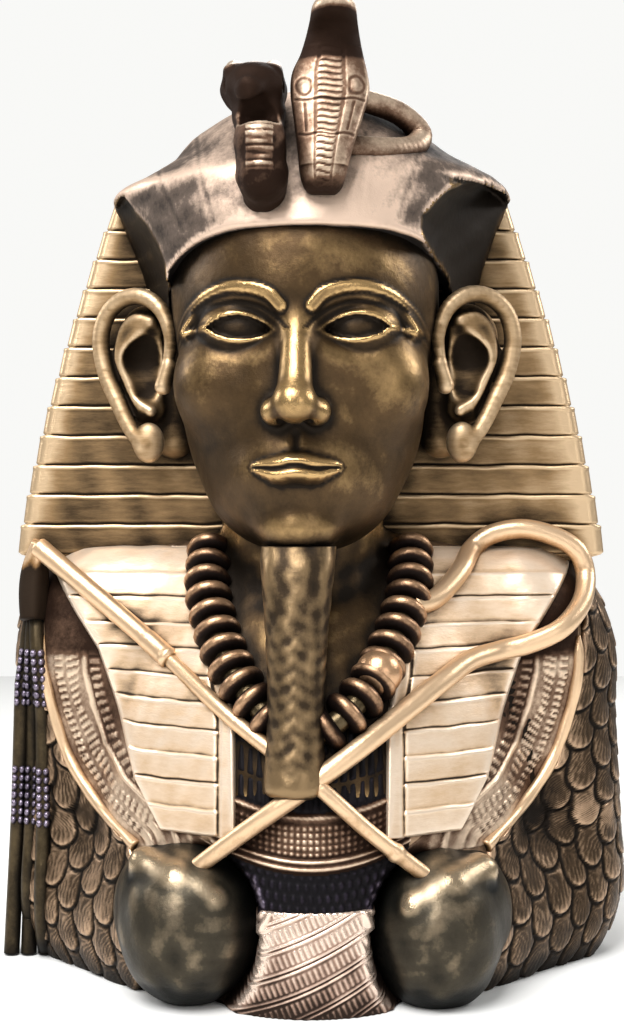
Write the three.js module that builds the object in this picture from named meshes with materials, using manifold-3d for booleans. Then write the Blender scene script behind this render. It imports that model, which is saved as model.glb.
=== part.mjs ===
// A bust of an Egyptian king, cast in one piece and cut flat below the folded hands.
// Millimetres, +Z up, the face looks along -Y, and the figure stands on its flat underside.
import * as THREE from "three";
import { mergeVertices } from "three/addons/utils/BufferGeometryUtils.js";
import Module from "manifold-3d";

const wasm = await Module();
wasm.setup();

// The overall height, from the underside to the top of the cobra's head. The sculptor's grid counts
// 504 squares in it, and every place on the figure below is given in squares.
const HEIGHT = 504;
const SQUARE = HEIGHT / 504;

// Sizes of the regalia and the relief, each free of the height.
const STRIPE_DEPTH = 2;
const LAPPET_THICKNESS = 5;
const CROOK_DIAMETER = 11;
const ROD_DIAMETER = 9;
const CAP_DIAMETER = 14;
const STRAND_DIAMETER = 9;
const STRAND_BEAD = 2;
const BEAD_DIAMETER = 25;
const BEAD_THICKNESS = 11;
const HEM_DIAMETER = 7;
const FEATHER_RELIEF = 2.4;
const LID_WIDTH = 4;

const sq = (squares) => squares * SQUARE;
const at = (x, y, z) => new THREE.Vector3(sq(x), sq(y), sq(z));

// The facial canon, in squares: from the chin it is one third to the base of the nose, two to the brow
// and three to the hairline, the eye line lies a quarter third below the brow, and the face is five
// eyes wide.
const CHIN = 224;
const THIRD = 65;
const EYE_WIDTH = 30;
const NOSE_BASE = CHIN + THIRD;
const BROW = CHIN + 2 * THIRD;
const EYE_LINE = BROW - THIRD / 4;
const MOUTH = NOSE_BASE - THIRD / 3;
const HEAD_PLACE = at(-2, 0, 0);
const HEAD_TURN = THREE.MathUtils.degToRad(-3);

// Signed distances, which a form is blended from. Negative is inside.
function ellipsoid(centre, radii) {
  const least = Math.min(radii.x, radii.y, radii.z);
  const scaled = new THREE.Vector3();
  return (p) => {
    scaled.copy(p).sub(centre).divide(radii);
    const reach = scaled.length();
    const slope = scaled.divide(radii).length();
    return slope < 1e-9 ? -least : (reach * (reach - 1)) / slope;
  };
}

function bone(start, startRadius, end, endRadius) {
  const along = end.clone().sub(start);
  const lengthSq = along.lengthSq();
  const from = new THREE.Vector3();
  return (p) => {
    from.copy(p).sub(start);
    const share = THREE.MathUtils.clamp(from.dot(along) / lengthSq, 0, 1);
    const radius = startRadius + (endRadius - startRadius) * share;
    return from.addScaledVector(along, -share).length() - radius;
  };
}

function blend(softness, ...forms) {
  return (p) => {
    let nearest = forms[0](p);
    for (const form of forms.slice(1)) {
      const next = form(p);
      const overlap = Math.max(softness - Math.abs(nearest - next), 0) / softness;
      nearest = Math.min(nearest, next) - (overlap * overlap * softness) / 4;
    }
    return nearest;
  };
}

function carve(softness, form, ...tools) {
  return (p) => {
    let depth = form(p);
    for (const tool of tools) {
      const cut = -tool(p);
      const overlap = Math.max(softness - Math.abs(depth - cut), 0) / softness;
      depth = Math.max(depth, cut) + (overlap * overlap * softness) / 4;
    }
    return depth;
  };
}

const bothSides = (make) => [make(-1), make(1)];

// The point of a form's surface that a ray from inside it leaves by, found from far outside.
function meet(form, place, direction, far) {
  const point = new THREE.Vector3();
  const step = sq(2);
  let outside = far;
  while (outside > 0 && form(point.copy(place).addScaledVector(direction, outside)) > 0) outside -= step;
  let inside = Math.max(outside, 0);
  outside = inside + step;
  for (let halving = 0; halving < 12; halving++) {
    const middle = (inside + outside) / 2;
    if (form(point.copy(place).addScaledVector(direction, middle)) > 0) outside = middle;
    else inside = middle;
  }
  return place.clone().addScaledVector(direction, inside);
}

const REACH = sq(260);
const FORWARD = new THREE.Vector3(0, -1, 0);
const front = (form, x, z) => meet(form, at(x, 20, z), FORWARD, REACH);
const heading = (turn) => new THREE.Vector3(Math.sin(turn), -Math.cos(turn), 0);

// A closed body through rings of points that have the same count, with a fan over each end.
function loft(rings) {
  const count = rings[0].length;
  const places = rings.flat();
  const faces = [];
  for (let row = 0; row < rings.length - 1; row++) {
    for (let i = 0; i < count; i++) {
      const a = row * count + i;
      const b = row * count + ((i + 1) % count);
      faces.push(a, b, b + count, a, b + count, a + count);
    }
  }
  for (const [ring, first, outer] of [
    [rings[0], 0, false],
    [rings.at(-1), (rings.length - 1) * count, true],
  ]) {
    places.push(ring.reduce((sum, p) => sum.add(p), new THREE.Vector3()).divideScalar(count));
    const hub = places.length - 1;
    for (let i = 0; i < count; i++) {
      const a = first + i;
      const b = first + ((i + 1) % count);
      faces.push(...(outer ? [a, b, hub] : [b, a, hub]));
    }
  }
  return new THREE.BufferGeometry().setFromPoints(places).setIndex(faces);
}

// A rod along a curve, whose radius follows the share of its length.
function rod(curve, steps, sides, radiusAt) {
  const frames = curve.computeFrenetFrames(steps, false);
  const rings = [];
  for (let i = 0; i <= steps; i++) {
    const centre = curve.getPointAt(i / steps);
    const radius = radiusAt(i / steps);
    const ring = [];
    for (let side = 0; side < sides; side++) {
      const turn = (2 * Math.PI * side) / sides;
      const spoke = frames.normals[i].clone().multiplyScalar(Math.cos(turn));
      spoke.addScaledVector(frames.binormals[i], Math.sin(turn));
      ring.push(centre.clone().addScaledVector(spoke, radius));
    }
    rings.push(ring);
  }
  return loft(rings);
}

const through = (points) => new THREE.CatmullRomCurve3(points, false, "centripetal");
const straight = (start, end) => new THREE.LineCurve3(start, end);
const swell = (ends, middle) => (share) => ends + (middle - ends) * Math.sin(Math.PI * share);

// A rod on a form's front along places in the front view, sunk by some of its thickness.
function onFront(form, places, sink, steps, sides, radiusAt) {
  const points = places.map(([x, z]) => {
    const point = front(form, x, z);
    point.y += sink;
    return point;
  });
  return rod(through(points), steps, sides, radiusAt);
}

// A solid for joining and cutting, from a closed geometry.
function solid(geometry) {
  const bare = geometry.clone();
  bare.deleteAttribute("normal");
  bare.deleteAttribute("uv");
  const merged = mergeVertices(bare, 1e-4);
  const vertProperties = new Float32Array(merged.attributes.position.array);
  const triVerts = new Uint32Array(merged.index.array);
  const made = new wasm.Manifold(new wasm.Mesh({ numProp: 3, vertProperties, triVerts }));
  if (made.volume() > 0) return made;
  for (let i = 0; i < triVerts.length; i += 3) {
    [triVerts[i + 1], triVerts[i + 2]] = [triVerts[i + 2], triVerts[i + 1]];
  }
  return new wasm.Manifold(new wasm.Mesh({ numProp: 3, vertProperties, triVerts }));
}

const fuse = (pieces) => pieces.map(solid).reduce((whole, piece) => whole.add(piece));

// The fold where the headcloth ends behind, over the shoulders.
const DRAPE_FOLD = 222;

// Shoulders, folded arms and chest, which the cloth and the regalia lie on. The shoulders come up under
// the headcloth's fold, and the arm that carries the flail's strands is held closer than the other.
const FLAIL_ARM = -115;
const CROOK_ARM = 125;
const BACK = 84;
const SHOULDER = DRAPE_FOLD - 42;
const breast = ellipsoid(at(0, 12, 20), at(90, 136, 212));
const flanks = bothSides((side) => ellipsoid(at(side * 42, 14, 60), at(82, 104, 170)));
const shoulders = bone(at(-111, 20, SHOULDER), sq(51), at(113, 20, SHOULDER), sq(51));

function arm(x) {
  const side = Math.sign(x);
  const upper = bone(at(x, 20, SHOULDER - 30), sq(45), at(x + side * 8, 14, 50), sq(41));
  const fore = bone(at(x - side, 8, 22), sq(39), at(side * 62, -70, 32), sq(30));
  return [upper, fore];
}

const behind = (p) => sq(BACK) - p.y;
const torso = carve(sq(40), blend(sq(24), breast, ...flanks, shoulders, ...arm(FLAIL_ARM), ...arm(CROOK_ARM)), behind);

// The fists, by the place and half width of each, and the hollows in the waist that they lie in.
const FISTS = [
  { side: -1, x: -61, middle: 38, girth: 36.5 },
  { side: 1, x: 63, middle: 35, girth: 34 },
];
const fistHollows = FISTS.map(({ x, middle, girth }) => ellipsoid(at(x, -106, middle), at(girth + 2, 32, 44)));
const waist = carve(sq(5), torso, ...fistHollows);

// The sleeves lie outside their hems and are covered with feathers, which overlap like tiles.
const FEATHER_ROW = 24;
const FEATHER_TIP = 6;
const FEATHER_TOP = 196;
const HEM = [
  [232, 152],
  [178, 146],
  [156, 145],
  [134, 140],
  [109, 130],
  [88, 113],
  [73, 90],
  [60, 98],
  [-20, 96],
];

function between(table, height) {
  const found = table.findIndex(([z]) => z <= height);
  const next = found < 1 ? 1 : found;
  const [z1, x1] = table[next];
  const [z0, x0] = table[next - 1];
  return x0 + ((x1 - x0) * (height - z0)) / (z1 - z0);
}

function torsoSolid() {
  const degrees = [-19, -10, 0, 10, 19];
  for (let turn = 28; turn < 112; turn += 6.2) degrees.push(turn, -turn);
  for (let turn = 130; turn < 240; turn += 25) degrees.push(turn);
  degrees.sort((a, b) => a - b);
  const turns = degrees.map(THREE.MathUtils.degToRad);
  const ring = (height, zigzag, relief) =>
    turns.map((turn, column) => {
      const probe = meet(waist, at(0, 18, height), heading(turn), REACH);
      const outside = Math.abs(probe.x) > sq(between(HEM, height) + 3) && Math.abs(degrees[column]) < 100;
      if (!outside) return probe;
      const tip = (column + zigzag) % 2 ? FEATHER_TIP : -FEATHER_TIP;
      return meet(waist, at(0, 18, height + tip), heading(turn), REACH).addScaledVector(heading(turn), relief);
    });
  const rings = [turns.map((turn) => meet(waist, at(0, 18, -6), heading(turn), REACH))];
  for (let row = 7; row >= 0; row--) {
    const foot = FEATHER_TOP - row * FEATHER_ROW;
    rings.push(ring(foot - 1.2, row, 0), ring(foot, row, FEATHER_RELIEF));
  }
  for (const height of [208, 220, 230]) {
    rings.push(turns.map((turn) => meet(torso, at(0, 18, height), heading(turn), REACH)));
  }
  return loft(rings);
}

// Head, modelled square to the front and turned into place at the end.
const skull = ellipsoid(at(0, -20, 362), at(73, 83, 90));
const faceMass = ellipsoid(at(0, -34, 306), at(65, 68, 82));
const jaw = ellipsoid(at(0, -54, 259), at(47, 42, 34));
const chin = ellipsoid(at(0, -84, CHIN + 14), at(20, 18, 14));
const mouthMound = ellipsoid(at(0, -80, MOUTH), at(30, 25, 22));
const cheeks = bothSides((side) => ellipsoid(at(side * 42, -64, 312), at(24, 28, 26)));
const noseBridge = bone(at(0, -93, BROW - 8), sq(6.5), at(0, -114, NOSE_BASE + 12), sq(9));
const noseTip = ellipsoid(at(0, -115, NOSE_BASE + 9), at(10.5, 11, 9.5));
const noseWings = bothSides((side) => ellipsoid(at(side * 9.5, -105, NOSE_BASE + 6), at(6.5, 9, 7)));
const eyeSockets = bothSides((side) => ellipsoid(at(side * EYE_WIDTH, -105, EYE_LINE + 1), at(21, 18, 14)));
const eyeballs = bothSides((side) => ellipsoid(at(side * EYE_WIDTH, -74, EYE_LINE), at(18, 15, 12)));
const skin = blend(
  sq(5),
  carve(sq(8), blend(sq(12), skull, faceMass, jaw, chin, mouthMound, ...cheeks), ...eyeSockets),
  ...eyeballs,
  blend(sq(5), noseBridge, noseTip, ...noseWings),
);

function headSolid() {
  const degrees = [0, 180];
  for (const turn of [5, 10, 15, 21, 27, 35, 46, 62, 90]) degrees.push(turn, -turn);
  degrees.sort((a, b) => a - b);
  const shares = [-0.01, 0.03, 0.1, 0.2, 0.31, 0.4, 0.5, 0.6, 0.74, 0.88, 0.99, 1.06, 1.16, 1.3, 1.45, 1.6];
  shares.push(1.7, 1.8, 1.9, 2.02, 2.2, 2.6);
  return loft(
    shares.map((thirds) =>
      degrees.map((turn) => {
        const direction = heading(THREE.MathUtils.degToRad(turn));
        return meet(skin, at(0, -30, CHIN + thirds * THIRD), direction, REACH);
      }),
    ),
  );
}

// An almond eye with its rim, and the cosmetic line that runs back from it.
function eyeAndBrow(side) {
  const almond = [
    [-1.05, -3.5],
    [-0.5, 6.5],
    [0.1, 9],
    [0.7, 5.5],
    [1.15, -1.5],
    [0.5, -7.5],
    [-0.3, -8.5],
  ];
  const ring = (share, forward) =>
    almond.map(([eyes, rise]) => {
      const x = side * EYE_WIDTH * (1 + (eyes * share) / 2);
      const point = front(skin, x, EYE_LINE + rise * share);
      return point.setY(point.y - forward);
    });
  const inner = 1 - (2 * LID_WIDTH) / sq(EYE_WIDTH);
  const rim = [ring(1.12, -sq(6)), ring(1.12, -sq(0.5)), ring(1, sq(2)), ring(inner, sq(2)), ring(inner, -sq(0.5))];
  const line = [
    [side * EYE_WIDTH * 1.5, EYE_LINE],
    [side * EYE_WIDTH * 2.05, EYE_LINE - 5],
  ];
  const brow = [
    [side * 9, BROW - 4],
    [side * 24, BROW + 4],
    [side * 44, BROW + 4],
    [side * 60, BROW - 6],
    [side * 66, BROW - 16],
  ];
  return [
    loft(rim),
    onFront(skin, line, 0, 1, 4, () => LID_WIDTH / 2),
    onFront(skin, brow, sq(0.6), 5, 4, swell(sq(1.6), sq(3.2))),
  ];
}

function lips() {
  const half = EYE_WIDTH * 0.75;
  const upper = [
    [-half, MOUTH],
    [-half / 3, MOUTH + 4.5],
    [0, MOUTH + 3.5],
    [half / 3, MOUTH + 4.5],
    [half, MOUTH],
  ];
  const lower = [
    [-half, MOUTH],
    [-half / 3, MOUTH - 5],
    [half / 3, MOUTH - 5],
    [half, MOUTH],
  ];
  return [
    onFront(skin, upper, sq(2), 6, 4, swell(sq(1), sq(4.8))),
    onFront(skin, lower, sq(2), 4, 4, swell(sq(1), sq(5.4))),
  ];
}

// An ear, filled in behind as a caster does: a dished block within a raised rim.
const EAR = [
  [71, 335],
  [77, 356],
  [93, 364],
  [108, 358],
  [115, 341],
  [111, 320],
  [101, 303],
  [93, 280],
  [80, 275],
];

function ear(side) {
  const centre = [86, 326];
  const depth = (x) => -34 + (x - 70) * 0.42;
  const ring = (share, forward) =>
    EAR.map(([x, z]) =>
      at(side * (centre[0] + (x - centre[0]) * share), depth(x) - forward, centre[1] + (z - centre[1]) * share),
    );
  const root = EAR.map(([x, z]) => at(side * (x - 4), 10, z));
  return loft([root, ring(1, 0), ring(0.93, 4), ring(0.74, 3), ring(0.58, -8)]);
}

// The straight beard, which hangs from the chin and rests on the chest.
function beard() {
  const rows = [
    { height: 228, halfWidth: 19, halfDepth: 13, forward: 86 },
    { height: 214, halfWidth: 18.4, halfDepth: 13, forward: 92 },
    { height: 185, halfWidth: 15.6, halfDepth: 13, forward: 98 },
    { height: 150, halfWidth: 14, halfDepth: 13, forward: 105 },
    { height: 128, halfWidth: 14.4, halfDepth: 13.5, forward: 110 },
    { height: 114, halfWidth: 15.4, halfDepth: 14, forward: 113 },
    { height: 107, halfWidth: 12, halfDepth: 11, forward: 113 },
  ];
  const sides = 8;
  return loft(
    rows.map(({ height, halfWidth, halfDepth, forward }) =>
      Array.from({ length: sides }, (_, i) => {
        const turn = (2 * Math.PI * i) / sides;
        return at(halfWidth * Math.sin(turn), -forward - halfDepth * Math.cos(turn), height);
      }),
    ),
  );
}

// Headcloth. The hood grips the brow and spreads to a corner over each ear. Its level sections are two
// half ovals that meet where it is widest: as wide as its outline in the front view, given as heights
// and half widths, and as deep in front as the crown.
const HOOD_MIDDLE = 8;
const HOOD_SUMMIT = 476;
const CROWN_LEVEL = 372;
const CROWN_DEPTH = 105;
const HOOD_CROWN = [
  [HOOD_SUMMIT, 8],
  [474, 17],
  [470, 33],
  [465, 43],
  [457, 57],
  [448, 69.5],
];
const HOOD_FOOT = [
  [408, 107],
  [390, 100],
  [372, 95],
  [330, 94],
];
const HOOD_LEFT = [...HOOD_CROWN, [438, 78], [432, 86], [426, 97], [421, 108], [417, 111], ...HOOD_FOOT];
const HOOD_RIGHT = [...HOOD_CROWN, [438, 83.5], [432, 95], [427, 106], [422, 111], [418, 111.5], ...HOOD_FOOT];
const BAND_EDGE = 388;
const BAND_DROP = 19;
const STRAP_DROP = 22;
const TEMPLE = 76;
const RIM = 4;
const HOLLOW = 5;

function hoodMass(x, y, z) {
  const half = between(x < 0 ? HOOD_LEFT : HOOD_RIGHT, z);
  const swell = Math.sqrt(Math.max(1 - ((z - CROWN_LEVEL) / (HOOD_SUMMIT - CROWN_LEVEL)) ** 2, 0.01));
  const depth = y < HOOD_MIDDLE ? HOOD_MIDDLE + 12 + (CROWN_DEPTH - 12) * swell : 58 * swell;
  return Math.max(Math.hypot(x / half, (y - HOOD_MIDDLE) / depth) - 1, z - HOOD_SUMMIT);
}

// Each side of the hood is hollowed to a facet under a thin rim, level by level, from a front edge to
// a back line, given as heights, x and y. The carver let the rim droop more on one side.
const FACETS = [
  {
    side: -1,
    edge: [
      [421, -109, -12],
      [417, -102, -30],
      [406, -95, -45],
      [397, -87, -52],
      [386, -81, -60],
      [376, -77.5, -62],
      [340, -72, -58],
    ],
    back: [
      [421, -113, 8],
      [405, -106, 7],
      [369, -90, 4],
      [340, -84, 2],
    ],
  },
  {
    side: 1,
    edge: [
      [430, 103, -3],
      [425, 94, -15],
      [418, 83, -30],
      [411, 75, -43],
      [402, 67, -56],
      [396, 61.7, -64],
      [390, 60.6, -66],
      [381, 62.5, -64],
      [369, 67, -62],
      [340, 71, -58],
    ],
    back: [
      [430, 112, 8],
      [421, 112, 8],
      [400, 104, 6],
      [369, 93, 4],
      [340, 86, 2],
    ],
  },
];

// The place of a line at a height, which stays at the line's ends beyond them.
function placeOn(line, height) {
  const within = THREE.MathUtils.clamp(height, line.at(-1)[0], line[0][0]);
  return [1, 2].map((axis) => between(line.map((place) => [place[0], place[axis]]), within));
}

// How far a place lies beyond a facet, where the rim doesn't keep it.
function beyondFacet({ side, edge, back }, x, y, z) {
  const [edgeX, edgeY] = placeOn(edge, z);
  const [backX, backY] = placeOn(back, z);
  const [wayX, wayY] = [backX - edgeX, backY - edgeY];
  const length = Math.hypot(wayX, wayY);
  const share = ((x - edgeX) * wayX + (y - edgeY) * wayY) / length ** 2;
  const outside = (side * ((x - edgeX) * wayY - (y - edgeY) * wayX)) / length;
  const within = THREE.MathUtils.clamp(share, -0.5, 1.2);
  return Math.min(outside + HOLLOW * 4 * within * (1 - within), -hoodMass(x, y, z + RIM));
}

function hoodForm(p) {
  const place = [p.x / SQUARE, p.y / SQUARE, p.z / SQUARE];
  return Math.max(hoodMass(...place), ...FACETS.map((facet) => beyondFacet(facet, ...place)));
}

// The turns of a level's columns: even steps over the front, across each facet and round the back.
function hoodTurns(level) {
  const [left, right] = FACETS.map(({ edge, back }) =>
    [edge, back].map((line) => {
      const [x, y] = placeOn(line, level);
      return Math.atan2(x, HOOD_MIDDLE + 4 - y);
    }),
  );
  const spread = (from, to, steps) => Array.from({ length: steps }, (_, i) => from + ((to - from) * i) / steps);
  return [
    ...spread(left[0], right[0], 9),
    ...spread(right[0], right[1], 3),
    ...spread(right[1], 2 * Math.PI + left[1], 6),
    ...spread(2 * Math.PI + left[1], 2 * Math.PI + left[0], 3),
  ];
}

function hoodSolid() {
  const levels = [338, 360, 376, 388, 396, 404, 411, 417, 421, 425, 429, 434, 441, 450, 460, 468, 473];
  const rings = levels.map((level) =>
    hoodTurns(level).map((turn) => meet(hoodForm, at(0, HOOD_MIDDLE + 4, level), heading(turn), REACH)),
  );
  const bandAt = (x) => BAND_EDGE - BAND_DROP * (Math.abs(x) / TEMPLE) ** 4.5;
  const strapAt = bandAt(TEMPLE) - STRAP_DROP;
  const outline = [new THREE.Vector2(sq(-140), sq(300)), new THREE.Vector2(sq(140), sq(300))];
  outline.push(new THREE.Vector2(sq(140), sq(strapAt)), new THREE.Vector2(sq(TEMPLE), sq(strapAt)));
  for (let x = 70; x >= -70; x -= 14) outline.push(new THREE.Vector2(sq(x), sq(bandAt(x))));
  outline.push(new THREE.Vector2(sq(-TEMPLE), sq(strapAt)), new THREE.Vector2(sq(-140), sq(strapAt)));
  const underBand = new THREE.ExtrudeGeometry(new THREE.Shape(outline), { depth: sq(140), bevelEnabled: false });
  underBand.rotateX(Math.PI / 2).translate(0, sq(HOOD_MIDDLE), 0);
  return solid(loft(rings)).subtract(solid(underBand));
}

// The cloth behind the ears: a flat face on each side and a rounded back, in overlapping bands.
const DRAPE_TOP = 421;
const DRAPE_BANDS = 12;
const DRAPE_BACK = 88;
const BACK_DROP = 62;

// Heights down a banded cloth, with how far the surface stands out there: each band is proud at its
// top and sinks to its lower edge.
function bandRows(top, bottom, bands) {
  const pitch = (top - bottom) / bands;
  const rows = [];
  for (let band = 0; band < bands; band++) {
    rows.push([top - band * pitch, STRIPE_DEPTH], [top - (band + 1) * pitch + pitch / 14, 0]);
  }
  return rows;
}

function drapeHalfWidth(z) {
  const rise = (Math.min(z, DRAPE_TOP) - 230) / 190;
  return 163.5 - 32 * rise - 20.5 * rise * rise;
}

function drapeSolid() {
  const backPoints = 6;
  const ring = (z, proud, share) => {
    const rise = Math.max(0, z - DRAPE_TOP);
    const arch = Math.sqrt(1 - (rise / (HOOD_SUMMIT + 2 - DRAPE_TOP)) ** 2);
    const wide = rise ? between(HOOD_LEFT, z) - 5 : drapeHalfWidth(z);
    const halfWidth = (sq(wide) - STRIPE_DEPTH + proud) * share;
    const backDepth = (sq(DRAPE_BACK) - STRIPE_DEPTH + proud) * arch * share;
    const faceDepth = sq(Math.min(8 - ((420 - z) / 190) * 12 + 1.1 * rise, 18)) + STRIPE_DEPTH - proud;
    const low = Math.max(0, (DRAPE_TOP - z) / (DRAPE_TOP - DRAPE_FOLD));
    const points = [-0.99, -0.5, 0.5, 0.99].map((x) => new THREE.Vector3(x * halfWidth, faceDepth, sq(z)));
    for (let i = 0; i <= backPoints; i++) {
      const turn = (Math.PI * i) / backPoints;
      const y = faceDepth + sq(4) + Math.sin(turn) * (backDepth - faceDepth - sq(4));
      const drop = sq(BACK_DROP) * low * Math.sin(turn) ** 2;
      points.push(new THREE.Vector3(Math.cos(turn) * halfWidth, y, sq(z) - drop));
    }
    return points;
  };
  const cap = [HOOD_SUMMIT - 4, 462, 446, 431].map((z) => ring(z, 0, 1));
  const bands = bandRows(DRAPE_TOP, DRAPE_FOLD, DRAPE_BANDS).map(([z, proud]) => ring(z, proud, 1));
  return loft([...cap, ...bands, ring(DRAPE_FOLD, 0, 0.97), ring(DRAPE_FOLD - 6, -sq(12), 0.85)]);
}

// The gathered tail of the headcloth down the back.
function queue() {
  const section = [
    [-1, -1],
    [-0.8, 0.6],
    [0, 1],
    [0.8, 0.6],
    [1, -1],
  ];
  const rings = [];
  for (let z = 172; z >= 72; z -= 20) {
    const halfWidth = 17 + (z - 72) * 0.1;
    rings.push(section.map(([x, y]) => at(x * halfWidth, 80 + y * 8, z)));
  }
  return loft(rings);
}

// The lappets, which hang from behind the ears over the chest.
const LAPPET_TOP = DRAPE_FOLD + 4;
const LAPPET_END = 84;
const LAPPET_BANDS = 11;
const LAPPET_OUTSIDE = [
  [LAPPET_TOP, 152],
  [203, 136],
  [172, 115],
  [137, 102.5],
  [108, 92.5],
  [84, 77],
];
const LAPPET_INSIDE = [
  [LAPPET_TOP, 50],
  [160, 42],
  [140, 38],
  [84, 37],
];

function lappet(side) {
  const rings = bandRows(LAPPET_TOP, LAPPET_END, LAPPET_BANDS).map(([z, proud]) => {
    const inner = between(LAPPET_INSIDE, z);
    const outer = between(LAPPET_OUTSIDE, z);
    const face = [0, 0.5, 1].map((share) => {
      const point = front(torso, side * (inner + (outer - inner) * share), z);
      return point.setY(point.y - LAPPET_THICKNESS + (share ? STRIPE_DEPTH - proud : 0));
    });
    const under = [face[2], face[0]].map((point) => point.clone().setY(point.y + LAPPET_THICKNESS + sq(18)));
    return [...face, ...under];
  });
  return loft(rings);
}

// What lies over the lappets, no further back than a plane that keeps it off the shoulders' slope.
function onChest(x, z, lift, furthest = -10) {
  const point = front(torso, x, z);
  return point.setY(Math.min(point.y - LAPPET_THICKNESS * 0.6 - lift, sq(furthest)));
}

// Crook and flail, crossed under the beard.
function crook() {
  const radius = CROOK_DIAMETER / 2;
  const line = [
    [-66, 62],
    [-30, 91],
    [-5, 109],
    [20, 126],
    [45, 143],
    [67, 158],
    [83, 167],
    [100, 171],
    [117, 175],
    [135, 183],
    [148, 196],
    [152, 211],
    [147, 224],
    [134, 232],
    [117, 236],
    [100, 233],
    [89, 225],
    [82, 215],
    [74, 206],
    [65, 199],
    [54, 196],
  ];
  const slope = (share) => radius * Math.min(1, 0.75 + share * 0.8);
  return rod(through(line.map(([x, z]) => onChest(x, z, radius * 0.8))), 24, 5, slope);
}

function flail() {
  const radius = ROD_DIAMETER / 2;
  const cap = CAP_DIAMETER / 2;
  const line = [
    [64, 60],
    [30, 88],
    [3, 112],
    [-40, 142],
    [-84, 176],
  ].map(([x, z]) => onChest(x, z, radius));
  const tip = onChest(-150, 226, radius, -15);
  const shaft = rod(through([...line, tip]), 10, 6, (share) => (share < 0.65 ? radius : cap * (0.2 + 0.8 * share)));
  const strap = rod(through([tip, onChest(-154, 210, radius), onChest(-152, 186, radius)]), 3, 5, () => sq(6));
  return [shaft, strap, strands()];
}

// The flail's three beaded strands, side by side in one body that is grooved between them.
function strands() {
  const ridges = [-1.5, -1, -0.5, 0, 0.5, 1, 1.5];
  const beaded = (z) => (z < 182 && z > 145) || (z < 112 && z > 78);
  const heights = [190, 181, 146, 144, 111, 79, 77, 40, -6];
  return loft(
    heights.map((z) => {
      const spread = STRAND_DIAMETER * (0.9 + (190 - z) / 600);
      const bulge = STRAND_DIAMETER / 2 + (beaded(z) ? STRAND_BEAD : 0);
      const face = ridges.map((across) => {
        const point = onChest(-153, z, 0, -9);
        point.x += across * spread;
        return point.setY(point.y - (Number.isInteger(across) ? bulge : 0));
      });
      const rear = [face.at(-1), face[0]].map((point) => point.clone().setY(point.y + STRAND_DIAMETER));
      return [...face, ...rear];
    }),
  );
}

// Thick disc beads on a string round the neck, one body with a waist between each two.
function necklace() {
  const bulge = BEAD_DIAMETER / 2;
  const line = [
    [-55, 224],
    [-54, 200],
    [-42, 168],
    [-24, 145],
    [-4, 132],
    [18, 145],
    [37, 168],
    [51, 200],
    [54, 224],
  ];
  const string = through(
    line.map(([x, z]) => {
      const point = front(blend(sq(10), torso, neck), x, z);
      return point.setY(point.y - bulge * 0.5);
    }),
  );
  const beads = Math.round(string.getLength() / BEAD_THICKNESS);
  return rod(string, beads * 2, 5, (share) => (Math.round(share * beads * 2) % 2 ? bulge : bulge * 0.66));
}

const neck = bone(at(-3, -10, 160), sq(44), at(-5, -16, 262), sq(44));
const neckRod = () => rod(straight(at(-3, -10, 160), at(-5, -16, 262)), 1, 14, () => sq(44));

// A heavy round fist, whose thumb shuts over the end of a rod.
function fist({ side, x, middle, girth }) {
  const palm = ellipsoid(at(x, -88, middle), at(girth, 39, 41));
  const heel = ellipsoid(at(x + side * 14, -74, middle + 6), at(26, 30, 33));
  const wrist = bone(at(x + side * 23, -84, middle + 28), sq(10), at(x + side * 4, -112, middle + 17), sq(8.5));
  const thumb = bone(at(x + side * 4, -112, middle + 17), sq(8.5), at(x - side * 14, -113, middle + 15), sq(7.5));
  const form = blend(sq(6), palm, heel, wrist, thumb);
  const columns = 12;
  return loft(
    [-70, -44, -20, 0, 16, 30, 44, 58, 74].map((degrees) => {
      const rise = THREE.MathUtils.degToRad(degrees);
      return Array.from({ length: columns }, (_, i) => {
        const direction = heading((2 * Math.PI * i) / columns).multiplyScalar(Math.cos(rise));
        direction.z = Math.sin(rise);
        return meet(form, at(x, -86, middle), direction, REACH);
      });
    }),
  );
}

// Places on the brow, by how far they stand ahead of the crown's front, or behind it below zero.
const onBrow = (x, ahead, z) => at(x, -CROWN_DEPTH - ahead, z);

// The vulture's neck and head on the brow.
function vulture() {
  const neckLine = [onBrow(-23, -10, 403), onBrow(-24, 6, 411), onBrow(-25, 7, 427), onBrow(-26, -7, 450)];
  neckLine.push(onBrow(-27, -25, 462));
  const headLine = [onBrow(-28, -29, 465), onBrow(-28, -9, 464), onBrow(-28, 7, 456), onBrow(-28, 12, 446)];
  return [
    rod(through(neckLine), 5, 6, () => sq(11.5)),
    rod(through(headLine), 5, 6, (share) => sq(share < 0.6 ? 16 : 16 - (share - 0.6) * 30)),
  ];
}

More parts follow.
